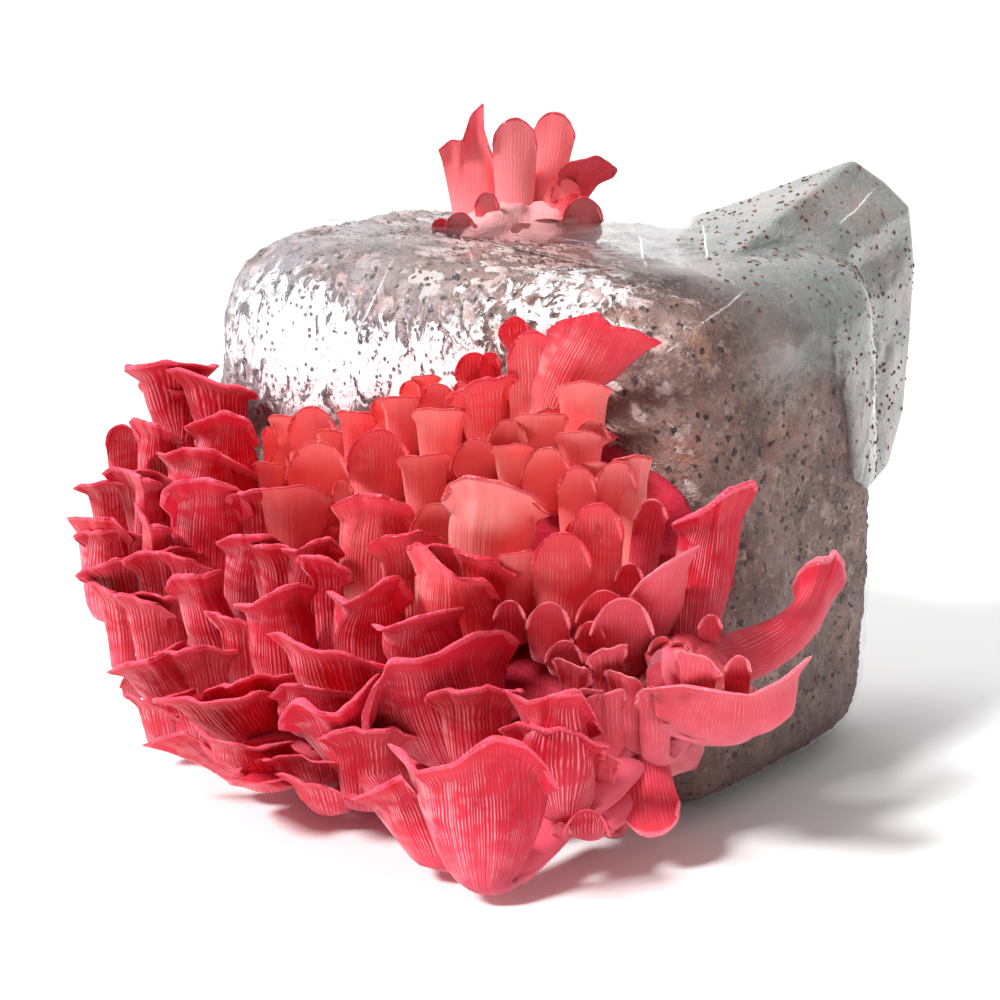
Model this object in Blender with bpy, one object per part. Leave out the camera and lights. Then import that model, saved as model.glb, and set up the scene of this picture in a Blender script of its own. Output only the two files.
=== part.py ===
"""Fruiting oyster mushroom grow kit: substrate block, film bag, flush of pink oyster mushrooms."""

import itertools
import math

import bmesh
import bpy
from mathutils import Vector

MM = 0.001

# Driving dimensions, in millimetres and degrees.
BLOCK_LENGTH = 230.0
BLOCK_DEPTH = 146.0
BLOCK_HEIGHT = 191.0
BLOCK_TURN = 35.0
BLOCK_SQUARENESS = 5.5
BOTTOM_ROUND = 20.0
TOP_ROUND = 28.0
TOP_DROP = 38.0
FILM_WALL = 0.8
WALL_AT_RIM = 2.4
WALL_AT_HEART = 3.4
SOLID_BELOW = 9.0
GAP = 0.3

# How bodies are joined and cut: a wider gap where the first leaves a trace, how close points become
# one, the volume (in cubic millimetres) that counts as none, and the share of the expected volume
# that a result may have.
GAP_STEPS = (1.0, 1.5, 2.5, 4.0)
WELDS = (0.04, 0.1, 0.02, 0.005)
FLAT_ENOUGH = math.radians(0.3)
UNTOUCHED = 0.002
LEAST_SHARE = 0.5
MOST_SHARE = 1.01
SHARPEST_SWELL = 2.0

# The front view from which positions are read: the eye looks down by VIEW_TILT from VIEW_REACH
# away, one reading step is READING_STEP across at the depth of the origin, x to the right, y down.
VIEW_TILT = math.radians(16.0)
VIEW_REACH = 900.0
READING_STEP = 0.4
READING_HOME = (540.0, 714.0)
READING_AIM = (500.0, 500.0)

ACROSS = Vector((1.0, 0.0, 0.0))
UPWARD = Vector((0.0, math.sin(VIEW_TILT), math.cos(VIEW_TILT)))
TOWARD = Vector((0.0, -math.cos(VIEW_TILT), math.sin(VIEW_TILT)))

TURN = math.radians(BLOCK_TURN)
ALONG = Vector((-math.cos(TURN), math.sin(TURN), 0.0))
BEHIND = Vector((math.sin(TURN), math.cos(TURN), 0.0))
NEAR_CORNER = ALONG * (-BLOCK_LENGTH / 2.0) - BEHIND * (BLOCK_DEPTH / 2.0)
TOP_CLUSTER_PLACE = Vector((-8.0, 40.0, BLOCK_HEIGHT))
FACES = {
    "front": (NEAR_CORNER, -BEHIND),
    "right": (NEAR_CORNER, -ALONG),
    "top": (TOP_CLUSTER_PLACE, Vector((0.0, -1.0, 0.0))),
}


def sight(reading, near):
    """The point, in millimetres, seen at a reading and lying near mm in front of the origin."""
    shrink = 1.0 - near / VIEW_REACH
    across = READING_AIM[0] - READING_HOME[0] + (reading[0] - READING_AIM[0]) * shrink
    up = READING_HOME[1] - READING_AIM[1] + (READING_AIM[1] - reading[1]) * shrink
    return (ACROSS * across + UPWARD * up) * READING_STEP + TOWARD * near


def before_face(point, face):
    """How far a point stands out in front of a face of the block."""
    place, normal = FACES[face]
    return (point - place).dot(normal)


def near_of(reading, face, out):
    """The depth at which the line of sight is out mm in front of a face of the block."""
    span = 100.0
    first = before_face(sight(reading, 0.0), face)
    last = before_face(sight(reading, span), face)
    return span * (out - first) / (last - first)


def smooth(value):
    value = max(0.0, min(1.0, value))
    return value * value * (3.0 - 2.0 * value)


def material(name, colour, roughness, alpha=1.0):
    made = bpy.data.materials.new(name)
    made.use_nodes = True
    shader = made.node_tree.nodes["Principled BSDF"]
    shader.inputs["Base Color"].default_value = (*colour, 1.0)
    shader.inputs["Roughness"].default_value = roughness
    shader.inputs["Metallic"].default_value = 0.0
    shader.inputs["Alpha"].default_value = alpha
    made.diffuse_color = (*colour, alpha)
    return made


def loft(name, rings, surface=None):
    """A closed body through rings of equally many points, each end closed by a strip across its ring."""
    shape = bmesh.new()
    rows = [[shape.verts.new(point * MM) for point in ring] for ring in rings]
    count = len(rings[0])
    for low, high in zip(rows, rows[1:]):
        for index in range(count):
            following = (index + 1) % count
            shape.faces.new((low[index], low[following], high[following], high[index]))
    for row in (rows[0], rows[-1]):
        for index in range(count // 2 - 1):
            shape.faces.new((row[index], row[index + 1], row[count - 2 - index], row[count - 1 - index]))
        if count % 2:
            shape.faces.new(row[count // 2 - 1:count // 2 + 2])
    bmesh.ops.triangulate(shape, faces=shape.faces)
    bmesh.ops.recalc_face_normals(shape, faces=shape.faces)
    if shape.calc_volume(signed=True) < 0.0:
        bmesh.ops.reverse_faces(shape, faces=shape.faces)
    mesh = bpy.data.meshes.new(name)
    shape.to_mesh(mesh)
    shape.free()
    made = bpy.data.objects.new(name, mesh)
    bpy.context.scene.collection.objects.link(made)
    if surface:
        mesh.materials.append(surface)
    return made


def swollen(source, amount):
    """A copy of a body with every point moved out along its normal."""
    mesh = source.data.copy()
    shape = bmesh.new()
    shape.from_mesh(mesh)
    shape.normal_update()
    for vert in shape.verts:
        vert.co += vert.normal * (amount * MM * min(SHARPEST_SWELL, vert.calc_shell_factor()))
    shape.to_mesh(mesh)
    shape.free()
    made = bpy.data.objects.new("cutter", mesh)
    bpy.context.scene.collection.objects.link(made)
    return made


def largest_piece(mesh, merge_flat, weld):
    """Keeps only the biggest of the separate bodies of a mesh, in triangles."""
    shape = bmesh.new()
    shape.from_mesh(mesh)
    if merge_flat:
        bmesh.ops.dissolve_limit(
            shape, angle_limit=FLAT_ENOUGH, use_dissolve_boundaries=False,
            verts=shape.verts, edges=shape.edges)
    bmesh.ops.dissolve_degenerate(shape, edges=shape.edges, dist=weld * MM)
    bmesh.ops.triangulate(shape, faces=shape.faces)
    left = set(shape.faces)
    pieces = []
    while left:
        reached = [left.pop()]
        piece = []
        while reached:
            face = reached.pop()
            piece.append(face)
            for edge in face.edges:
                for other in edge.link_faces:
                    if other in left:
                        left.remove(other)
                        reached.append(other)
        pieces.append(piece)
    pieces.sort(key=lambda piece: sum(face.calc_area() for face in piece))
    if len(pieces) > 1:
        spare = [face for piece in pieces[:-1] for face in piece]
        bmesh.ops.delete(shape, geom=spare, context="FACES")
    shape.to_mesh(mesh)
    shape.free()


def combined(body, other, operation, solver, merge_flat, weld):
    """The mesh of two bodies joined, or of the first with the second cut away."""
    step = body.modifiers.new("join or cut", "BOOLEAN")
    step.operation = operation
    step.solver = solver
    step.object = other
    graph = bpy.context.evaluated_depsgraph_get()
    graph.update()
    result = bpy.data.meshes.new_from_object(body.evaluated_get(graph))
    body.modifiers.remove(step)
    largest_piece(result, merge_flat, weld)
    return result


def shared_volume(body, other):
    common = combined(body, other, "INTERSECT", "MANIFOLD", False, WELDS[-1])
    size = abs(mesh_volume(common))
    bpy.data.meshes.remove(common)
    return size


def boolean(body, other, operation):
    """Joins another body to a body, cuts it away or keeps what both share, for good.

    The exact solver is kept unless its result is open or has an impossible volume.
    """
    before = mesh_volume(body.data)
    taken = mesh_volume(other.data)
    shared = shared_volume(body, other)
    expected = {
        "UNION": before + taken - shared, "DIFFERENCE": before - shared, "INTERSECT": shared,
    }[operation]
    if operation == "DIFFERENCE" and shared < UNTOUCHED:
        return True
    for solver, merge_flat, weld in itertools.product(("EXACT", "MANIFOLD"), (True, False), WELDS):
        result = combined(body, other, operation, solver, merge_flat, weld)
        after = mesh_volume(result)
        if LEAST_SHARE * expected < after < MOST_SHARE * expected + UNTOUCHED and is_closed(result):
            break
        bpy.data.meshes.remove(result)
        result = None
    if result is None:
        return False
    old = body.data
    body.data = result
    bpy.data.meshes.remove(old)
    return True


def is_closed(mesh):
    shape = bmesh.new()
    shape.from_mesh(mesh)
    closed = all(len(edge.link_faces) == 2 for edge in shape.edges) and len(shape.faces) > 3
    shape.free()
    return closed


def mesh_volume(mesh):
    """Volume of a closed mesh, in cubic millimetres."""
    shape = bmesh.new()
    shape.from_mesh(mesh)
    size = shape.calc_volume(signed=True) / MM ** 3
    shape.free()
    return size


def cut_clear(body, other):
    """Cuts another body, grown by the gap, out of a body."""
    for step in GAP_STEPS:
        tool = swollen(other, step * GAP)
        done = boolean(body, tool, "DIFFERENCE")
        discard(tool)
        if done and shared_volume(body, other) < UNTOUCHED:
            return


def discard(made):
    mesh = made.data
    bpy.data.objects.remove(made)
    bpy.data.meshes.remove(mesh)


# ---------------------------------------------------------------- substrate block and film bag

BLOCK_SIDES = 24
BOTTOM_STEPS = 3
TOP_STEPS = 4
WALL_LEVELS = (0.16, 0.34, 0.52, 0.68)

# The sack bulges at mid height, less so over its top, and is a little uneven: each swelling has a
# number of waves round the block, a slant with height and a share of the half width.
BULGE = 0.035
BULGE_RISE = 1.15
BULGE_OVER_TOP = 0.4
TOP_BEGINS = 30.0
SWELLINGS = ((3.0, 7.0, 0.010), (5.0, -9.0, 0.008))


def block_top(along, behind, drop):
    """Height of the block's top: the substrate falls off at the right-hand corner, the film does not."""
    end = (1.0 - along / (BLOCK_LENGTH / 2.0)) / 2.0
    back = (1.0 + behind / (BLOCK_DEPTH / 2.0)) / 2.0
    return BLOCK_HEIGHT - drop * max(0.0, end) * max(0.0, back)


def block_point(angle, inset, level, grow, drop):
    """A point of the block: angle round it, inset from its walls, level from 0 at the bottom to 1."""
    cosine = math.cos(angle)
    sine = math.sin(angle)
    reach = (abs(cosine) ** BLOCK_SQUARENESS + abs(sine) ** BLOCK_SQUARENESS) ** (-1.0 / BLOCK_SQUARENESS)
    long_half = BLOCK_LENGTH / 2.0 + grow - inset
    deep_half = BLOCK_DEPTH / 2.0 + grow - inset
    swell = 1.0 + BULGE * math.sin(math.pi * min(1.0, level * BULGE_RISE)) * (
        1.0 if inset < TOP_BEGINS else BULGE_OVER_TOP)
    lump = 1.0 + sum(share * math.sin(turns * angle + slant * level) for turns, slant, share in SWELLINGS)
    along = long_half * cosine * reach * swell * lump
    behind = deep_half * sine * reach * swell * lump
    low = FILM_WALL + GAP - grow
    high = block_top(along, behind, drop) + grow
    place = ALONG * along + BEHIND * behind
    place.z = low + (high - low) * level
    return place


def block_rings(grow, drop=0.0):
    """Rings from the flat bottom, up the walls and in over the top."""
    rows = []
    for step in range(BOTTOM_STEPS):
        bend = math.radians(90.0 * step / BOTTOM_STEPS)
        rows.append((BOTTOM_ROUND * (1.0 - math.sin(bend)), BOTTOM_ROUND * (1.0 - math.cos(bend))))
    for height in WALL_LEVELS:
        rows.append((0.0, BLOCK_HEIGHT * height))
    for step in range(TOP_STEPS):
        bend = math.radians(90.0 * (step + 0.4) / (TOP_STEPS - 0.6))
        rows.append((TOP_ROUND * (1.0 - math.cos(bend)), BLOCK_HEIGHT - TOP_ROUND * (1.0 - math.sin(bend))))
    rings = []
    for inset, height in rows:
        ring = [
            block_point(2.0 * math.pi * index / BLOCK_SIDES, inset, height / BLOCK_HEIGHT, grow, drop)
            for index in range(BLOCK_SIDES)
        ]
        rings.append(ring)
    return rings


# The loose mouth of the bag: for each place along its outer seam, the reading and depth of the
# seam, of the line where the front film leaves the block, and of the line where the back film does.
MOUTH_SEAM = (
    ((684, 219), 14), ((735, 203), 14), ((800, 178), 14), ((853, 160), 15), ((884, 182), 8),
    ((909, 207), 2), ((914, 262), -4), ((910, 330), -4), ((903, 410), -2), ((888, 465), 4),
    ((866, 490), 16),
)
MOUTH_FRONT = (
    ((700, 262), 80), ((712, 292), 120), ((760, 315), 96), ((805, 330), 76), ((826, 342), 58),
    ((838, 356), 48), ((842, 380), 42), ((846, 405), 38), ((848, 430), 34), ((850, 462), 30),
    ((852, 480), 26),
)
MOUTH_BACK = (
    ((690, 232), 2), ((712, 262), -2), ((745, 292), -4), ((775, 318), -4), ((800, 340), -4),
    ((812, 362), -4), ((818, 385), -2), ((822, 410), 0), ((826, 435), 2), ((830, 462), 4),
    ((838, 482), 8),
)


MOUTH_HEART = 0.86
FRONT_PUFF = 3.0
BACK_PUFF = 2.0


def mouth_rings():
    """Rings along the loose mouth, each from its heart inside the block out to the seam and back."""
    rings = []
    for seam, front, back in zip(MOUTH_SEAM, MOUTH_FRONT, MOUTH_BACK):
        edge = sight(*seam)
        fore = sight(*front)
        rear = sight(*back)
        heart = (fore + rear) / 2.0 * MOUTH_HEART
        rings.append([
            heart,
            fore,
            fore.lerp(edge, 0.5) + TOWARD * FRONT_PUFF,
            edge + TOWARD * (FILM_WALL / 2.0),
            edge - TOWARD * (FILM_WALL / 2.0),
            rear.lerp(edge, 0.5) - TOWARD * BACK_PUFF,
            rear,
        ])
    return rings


# ---------------------------------------------------------------- mushrooms

def reading_fan(left, middle, right, foot, out, heel, **more):
    """Readings of one mushroom: rim ends, middle of its front lip, foot, and how far both stand out."""
    facts = {"left": left, "middle": middle, "right": right, "foot": foot, "out": out, "heel": heel}
    facts.update({
        "face": "front", "bulge": 0.6, "wrap": 96.0, "stem": 4.5, "flare": 0.16, "taper": 0.7,
        "peak": 2.0, "ruffle": 0.05, "waves": 3.0, "phase": 0.0, "solid": False, "root": None,
    })
    facts.update(more)
    return facts


MUSHROOMS = {
    "front_mushroom_01": reading_fan((396, 752), (484, 744), (560, 792), (482, 884), 96, 84, stem=7),
    "front_mushroom_02": reading_fan((352, 800), (402, 780), (446, 800), (440, 880), 92, 78),
    "front_mushroom_03": reading_fan((280, 728), (330, 716), (380, 678), (385, 796), 88, 64, stem=6),
    "front_mushroom_04": reading_fan((364, 735), (410, 664), (520, 642), (440, 760), 82, 60, stem=7),
    "front_mushroom_05": reading_fan((504, 692), (545, 698), (604, 734), (560, 812), 74, 58, wrap=165),
    "front_mushroom_06": reading_fan((213, 772), (255, 784), (293, 778), (268, 815), 90, 72),
    "front_mushroom_07": reading_fan((190, 722), (238, 746), (295, 742), (270, 790), 86, 66),
    "front_mushroom_08": reading_fan((143, 746), (184, 734), (222, 762), (256, 812), 85, 66, phase=0.6),
    "front_mushroom_09": reading_fan((174, 698), (215, 700), (270, 688), (262, 745), 80, 58, wrap=150),
    "front_mushroom_10": reading_fan((107, 672), (158, 657), (186, 642), (190, 735), 70, 52),
    "front_mushroom_11": reading_fan((269, 697), (305, 687), (362, 694), (322, 735), 78, 56),
    "front_mushroom_12": reading_fan((286, 640), (330, 652), (380, 672), (345, 715), 76, 54, wrap=140),
    "front_mushroom_13": reading_fan((372, 626), (415, 619), (466, 608), (430, 680), 72, 50),
    "front_mushroom_14": reading_fan((234, 605), (275, 594), (318, 588), (278, 685), 72, 50, stem=6),
    "front_mushroom_15": reading_fan((326, 592), (362, 596), (412, 582), (370, 660), 66, 46),
    "front_mushroom_16": reading_fan((165, 590), (190, 577), (226, 570), (230, 676), 68, 46),
    "front_mushroom_17": reading_fan((216, 543), (250, 537), (287, 547), (252, 610), 62, 42),
    "front_mushroom_18": reading_fan((280, 549), (312, 543), (346, 555), (312, 600), 58, 40),
    "front_mushroom_19": reading_fan((331, 507), (372, 496), (420, 523), (375, 600), 56, 36, stem=6),
    "front_mushroom_20": reading_fan((290, 785), (320, 786), (350, 790), (330, 820), 80, 66),
    "left_mushroom_01": reading_fan((136, 368), (166, 366), (205, 378), (180, 440), 30, 16, wrap=150),
    "left_mushroom_02": reading_fan((184, 376), (212, 382), (250, 392), (220, 440), 24, 14, wrap=140),
    "left_mushroom_03": reading_fan((183, 428), (220, 415), (260, 448), (228, 490), 34, 20),
    "left_mushroom_04": reading_fan((156, 456), (208, 450), (265, 480), (212, 520), 44, 26),
    "left_mushroom_05": reading_fan((129, 422), (155, 426), (182, 440), (158, 495), 40, 24),
    "left_mushroom_06": reading_fan((106, 440), (120, 430), (136, 440), (122, 490), 34, 22, wrap=80),
    "left_mushroom_07": reading_fan((126, 470), (145, 478), (163, 485), (150, 545), 50, 32),
    "left_mushroom_08": reading_fan((133, 506), (150, 524), (174, 530), (160, 600), 56, 38),
    "left_mushroom_09": reading_fan((88, 486), (106, 484), (128, 490), (110, 530), 42, 30),
    "left_mushroom_10": reading_fan((66, 518), (98, 518), (134, 540), (110, 610), 54, 34),
    "left_mushroom_11": reading_fan((160, 502), (205, 480), (254, 518), (205, 575), 56, 34, stem=6),
    "left_mushroom_12": reading_fan((88, 572), (112, 563), (137, 574), (122, 625), 54, 36),
    "left_mushroom_13": reading_fan((124, 606), (142, 600), (164, 610), (150, 650), 60, 42),
    "centre_mushroom_01": reading_fan((439, 502), (490, 480), (552, 516), (492, 582), 50, 26, stem=7),
    "centre_mushroom_02": reading_fan((404, 548), (450, 574), (500, 600), (462, 640), 60, 38),
    "centre_mushroom_03": reading_fan((535, 548), (562, 537), (590, 552), (556, 617), 46, 28, wrap=85),
    "centre_mushroom_04": reading_fan((573, 520), (598, 507), (622, 524), (596, 616), 40, 20, wrap=85),
    "centre_mushroom_05": reading_fan((595, 632), (625, 604), (652, 632), (618, 670), 46, 28, wrap=80),
    "centre_mushroom_06": reading_fan((637, 540), (659, 505), (666, 545), (650, 585), 22, 10, wrap=80),
    "centre_mushroom_07": reading_fan((566, 826), (590, 815), (608, 824), (585, 838), 60, 50, wrap=80),
    "upper_mushroom_01": reading_fan((546, 340), (606, 318), (662, 343), (553, 415), 26, 14),
    "upper_mushroom_02": reading_fan((510, 348), (532, 336), (554, 350), (530, 425), 26, 14, wrap=90),
    "upper_mushroom_03": reading_fan((459, 395), (485, 382), (510, 392), (486, 442), 28, 14, wrap=90),
    "upper_mushroom_04": reading_fan((348, 448), (380, 435), (409, 450), (380, 502), 36, 20, wrap=88),
    "right_mushroom_01": reading_fan((626, 580), (664, 566), (701, 546), (650, 632), 24, 10, wrap=120),
    "right_mushroom_02": reading_fan((671, 530), (720, 500), (757, 488), (690, 636), 18, 8, face="right"),
    "right_mushroom_03": reading_fan(
        (768, 590), (806, 566), (840, 560), (775, 655), 24, 16, face="right", root=(705, 655)),
    "right_mushroom_04": reading_fan(
        (642, 700), (730, 690), (811, 656), (716, 738), 30, 18, face="right", root=(656, 724)),
    "right_mushroom_05": reading_fan((612, 760), (640, 732), (662, 770), (640, 830), 30, 16, wrap=85),
    "top_mushroom_01": reading_fan((438, 150), (472, 106), (500, 150), (476, 232), 4, 0, face="top", wrap=85),
    "top_mushroom_02": reading_fan(
        (494, 134), (514, 120), (536, 134), (515, 226), 12, 4, face="top", wrap=88),
    "top_mushroom_03": reading_fan((533, 130), (553, 114), (575, 130), (545, 226), 2, 0, face="top", wrap=88),
    "top_mushroom_04": reading_fan(
        (565, 181), (586, 160), (603, 183), (562, 226), 10, 4, face="top", wrap=95, phase=0.6),
}


# Young caps, still small, that stay fused to the common base.
YOUNG_CAPS = {
    "a": reading_fan((262, 442), (269, 430), (276, 442), (268, 470), 26, 14, wrap=85),
    "b": reading_fan((272, 430), (284, 419), (297, 430), (284, 470), 24, 12, wrap=85),
    "c": reading_fan((289, 424), (310, 411), (333, 424), (312, 490), 26, 12, wrap=85),
    "d": reading_fan((289, 462), (316, 446), (342, 466), (336, 520), 34, 18, wrap=88),
    "e": reading_fan((342, 428), (356, 416), (371, 430), (358, 470), 26, 12, wrap=85),
    "f": reading_fan((371, 412), (380, 402), (391, 414), (382, 445), 24, 10, wrap=85),
    "g": reading_fan((385, 416), (402, 402), (420, 418), (404, 465), 28, 12, wrap=85),
    "h": reading_fan((401, 392), (410, 385), (420, 394), (411, 420), 22, 10, wrap=85),
    "i": reading_fan((420, 398), (437, 388), (455, 400), (438, 425), 24, 12, wrap=85),
    "j": reading_fan((419, 428), (440, 414), (460, 428), (440, 475), 30, 14, wrap=85),
    "k": reading_fan((264, 502), (290, 491), (322, 506), (302, 550), 44, 28, wrap=85),
    "l": reading_fan((403, 470), (422, 460), (446, 474), (428, 515), 36, 18, wrap=85),
    "m": reading_fan((498, 458), (512, 449), (527, 460), (512, 488), 34, 18, wrap=85),
    "n": reading_fan((490, 432), (506, 424), (525, 434), (508, 462), 30, 14, wrap=85),
    "o": reading_fan((520, 430), (542, 418), (563, 430), (542, 470), 28, 14, wrap=85),
    "p": reading_fan((525, 466), (548, 452), (570, 468), (546, 515), 36, 18, wrap=85),
    "q": reading_fan((562, 406), (584, 390), (606, 404), (586, 445), 22, 10, wrap=85),
    "r": reading_fan((562, 450), (582, 438), (601, 450), (584, 490), 28, 14, wrap=85),
    "s": reading_fan((560, 488), (577, 472), (595, 490), (578, 545), 34, 18, wrap=85),
    "t": reading_fan((598, 480), (616, 466), (636, 482), (618, 525), 26, 12, wrap=85),
    "u": reading_fan((620, 490), (634, 462), (647, 492), (634, 572), 22, 10, wrap=80),
    "v": reading_fan((410, 522), (436, 508), (460, 526), (440, 575), 46, 26, wrap=88),
    "w": reading_fan((505, 572), (525, 556), (542, 572), (522, 610), 44, 28, wrap=85),
    "x": reading_fan((580, 606), (604, 596), (628, 610), (606, 640), 42, 26, wrap=85),
    "y": reading_fan((528, 620), (548, 607), (568, 622), (548, 662), 48, 32, wrap=85),
    "z": reading_fan((547, 655), (564, 645), (582, 656), (566, 680), 50, 36, wrap=85),
}

# Shares and levels that shape every mushroom: its root lies ROOT_DEPTH of the heel back from the foot
# and its stem is at most STEM_SHARE of the cap's width. The cap wraps round from WRAP_FULL up, opens
# out of the solid stem below OPEN_FROM and faces the front view from FACING_FROM up.
ROOT_DEPTH = 0.6
READ_ROOT_DEPTH = 0.7
LOWEST_ROOT = 16.0
STEM_SHARE = 0.55
WRAP_FULL = 0.5
OPEN_FROM = 0.55
FACING_FROM = 0.6
THINNEST_EDGE = 0.4
THICKEST_WALL = 0.7
BACK_NARROWING = 0.96
FAN_LEVELS = (0.0, 0.5, 1.0)
STEM_LEVELS = (-1.0,)
FAN_SIDES = 5
CAP_LEVELS = (0.2, 1.0)
CAP_SIDES = 3


def fan_frame(facts):
    """Places in millimetres worked out from one mushroom's readings."""
    near = near_of(facts["middle"], facts["face"], facts["out"])
    half_width = (facts["right"][0] - facts["left"][0]) / 2.0 * READING_STEP * (1.0 - near / VIEW_REACH)
    sag = facts["bulge"] * half_width
    middle = sight(facts["middle"], near)
    left = sight(facts["left"], near - sag)
    right = sight(facts["right"], near - sag)
    foot = sight(facts["foot"], near_of(facts["foot"], facts["face"], facts["heel"]))
    foot.z = max(foot.z, facts["stem"] + 1.0)
    root = foot - FACES[facts["face"]][1] * (facts["heel"] * ROOT_DEPTH)
    if facts["face"] == "top":
        root = foot.lerp(TOP_CLUSTER_PLACE, ROOT_DEPTH)
    if facts["root"]:
        root = sight(facts["root"], near_of(facts["root"], facts["face"], facts["heel"] * READ_ROOT_DEPTH))
    root.z = max(root.z, LOWEST_ROOT)
    rise = middle - foot
    lean = TOWARD * (facts["flare"] * rise.length)
    bend = foot + rise * 0.5 - lean
    elbow = foot - (bend - foot) * 0.5
    elbow.z = max(elbow.z, facts["stem"] + 1.0)
    return {
        "middle": middle, "foot": foot, "root": root, "bend": bend, "elbow": elbow,
        "half": (right - left) / 2.0, "fall": (left + right) / 2.0 - middle, "sag": sag,
        "width": half_width,
    }


def curve(first, control, last, part):
    return first * (1.0 - part) ** 2 + control * (2.0 * part * (1.0 - part)) + last * part ** 2


def heading(first, control, last, part):
    return ((control - first) * (1.0 - part) + (last - control) * part).normalized()


def fan_ring(facts, frame, level, sides):
    """One closed ring round a mushroom: level -1 is its root, 0 its foot, 1 its rim."""
    if level < 0.0:
        path = (frame["root"], frame["elbow"], frame["foot"], level + 1.0)
    else:
        path = (frame["foot"], frame["bend"], frame["middle"], level)
    spine = curve(*path)
    ahead = heading(*path)
    if level == 0.0:
        ahead = (ahead + (frame["foot"] - frame["root"]).normalized()).normalized()
    open_part = max(0.0, level)
    width = frame["width"]
    slim = min(STEM_SHARE, facts["stem"] / width)
    spread = slim + (1.0 - slim) * open_part ** facts["taper"]
    wrap = math.radians(90.0 + (facts["wrap"] - 90.0) * smooth(open_part / WRAP_FULL))
    reach = math.sin(min(wrap, math.pi / 2.0))
    depth = 1.0 - math.cos(min(wrap, math.pi / 2.0))
    solid = 1.0 if facts["solid"] or width < SOLID_BELOW else 1.0 - smooth(open_part / OPEN_FROM)
    wall = WALL_AT_HEART + (WALL_AT_RIM - WALL_AT_HEART) * open_part
    wall = min(wall, THICKEST_WALL * width * spread)
    half = frame["half"]
    side = half.normalized()
    upright = ahead.cross(ACROSS).normalized()
    rear = upright.lerp(-TOWARD, smooth((level + 0.1) / FACING_FROM)).normalized()
    slope = Vector((half.x, 0.0, 0.0)) + (half - Vector((half.x, 0.0, 0.0))) * open_part ** 2
    droop = frame["fall"].dot(UPWARD)
    outer = []
    inner = []
    for index in range(sides + 1):
        across = -1.0 + 2.0 * index / sides
        angle = wrap * across
        back = (1.0 - math.cos(angle)) / depth * frame["sag"] * spread
        place = spine + slope * (spread * math.sin(angle) / reach) + rear * back
        place += UPWARD * (droop * open_part ** 2 * min(1.0, abs(across)) ** facts["peak"])
        wave = math.sin(facts["waves"] * math.pi * across + facts["phase"])
        inward = rear * math.cos(angle) - side * math.sin(angle)
        place -= inward * (facts["ruffle"] * width * wave * open_part ** 3)
        edge = THINNEST_EDGE + (1.0 - THINNEST_EDGE) * math.sqrt(max(0.0, 1.0 - across * across))
        hollow = place + inward * (wall * edge)
        round_angle = math.pi / 2.0 * across
        mirrored = spine + slope * (spread * math.sin(round_angle) * BACK_NARROWING)
        mirrored += rear * (frame["sag"] * spread * (1.0 + math.cos(round_angle)) + 0.3)
        inner.append(hollow.lerp(mirrored, solid))
        outer.append(place)
    return outer + inner[::-1]


def fan_rings(facts, levels, sides):
    frame = fan_frame(facts)
    return [fan_ring(facts, frame, level, sides) for level in levels]


def mushroom(name, facts, surface=None):
    return loft(name, fan_rings(facts, STEM_LEVELS + FAN_LEVELS, FAN_SIDES), surface)


def young_cap(name, facts):
    facts["solid"] = True
    return loft(name, fan_rings(facts, STEM_LEVELS[:1] + CAP_LEVELS, CAP_SIDES))


# ---------------------------------------------------------------- cluster bases

UPPER_LOBE_CENTRE = NEAR_CORNER + ALONG * 88.0 + Vector((0.0, 0.0, 96.0)) + BEHIND * 4.0
UPPER_LOBE_HALVES = (96.0, 26.0, 62.0)
LOWER_LOBE_CENTRE = NEAR_CORNER + ALONG * 112.0 + Vector((0.0, 0.0, 36.0)) - BEHIND * 8.0
LOWER_LOBE_HALVES = (108.0, 42.0, 33.0)
BASE_NECK = (60.0, 40.0, 34.0)
TOP_BASE_HALVES = (24.0, 16.0, 12.0)
TOP_NECK = (13.0, 9.0, 14.0)


def lump(name, centre, halves, along, behind, uneven, around=16, rows=7, surface=None):
    """A soft lump: an ellipsoid with low swellings."""
    rings = []
    for row in range(1, rows):
        tilt = math.pi * row / rows - math.pi / 2.0
        ring = []
        for index in range(around):
            angle = 2.0 * math.pi * index / around
            swell = 1.0 + uneven * math.sin(3.0 * angle + 2.0 * tilt) * math.cos(tilt)
            swell += uneven * 0.7 * math.sin(5.0 * angle - 3.0 * tilt) * math.cos(tilt)
            place = centre + along * (halves[0] * math.cos(angle) * math.cos(tilt) * swell)
            place += behind * (halves[1] * math.sin(angle) * math.cos(tilt) * swell)
            place.z = max(3.0, centre.z + halves[2] * math.sin(tilt))
            ring.append(place)
        rings.append(ring)
    return loft(name, rings, surface)


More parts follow.
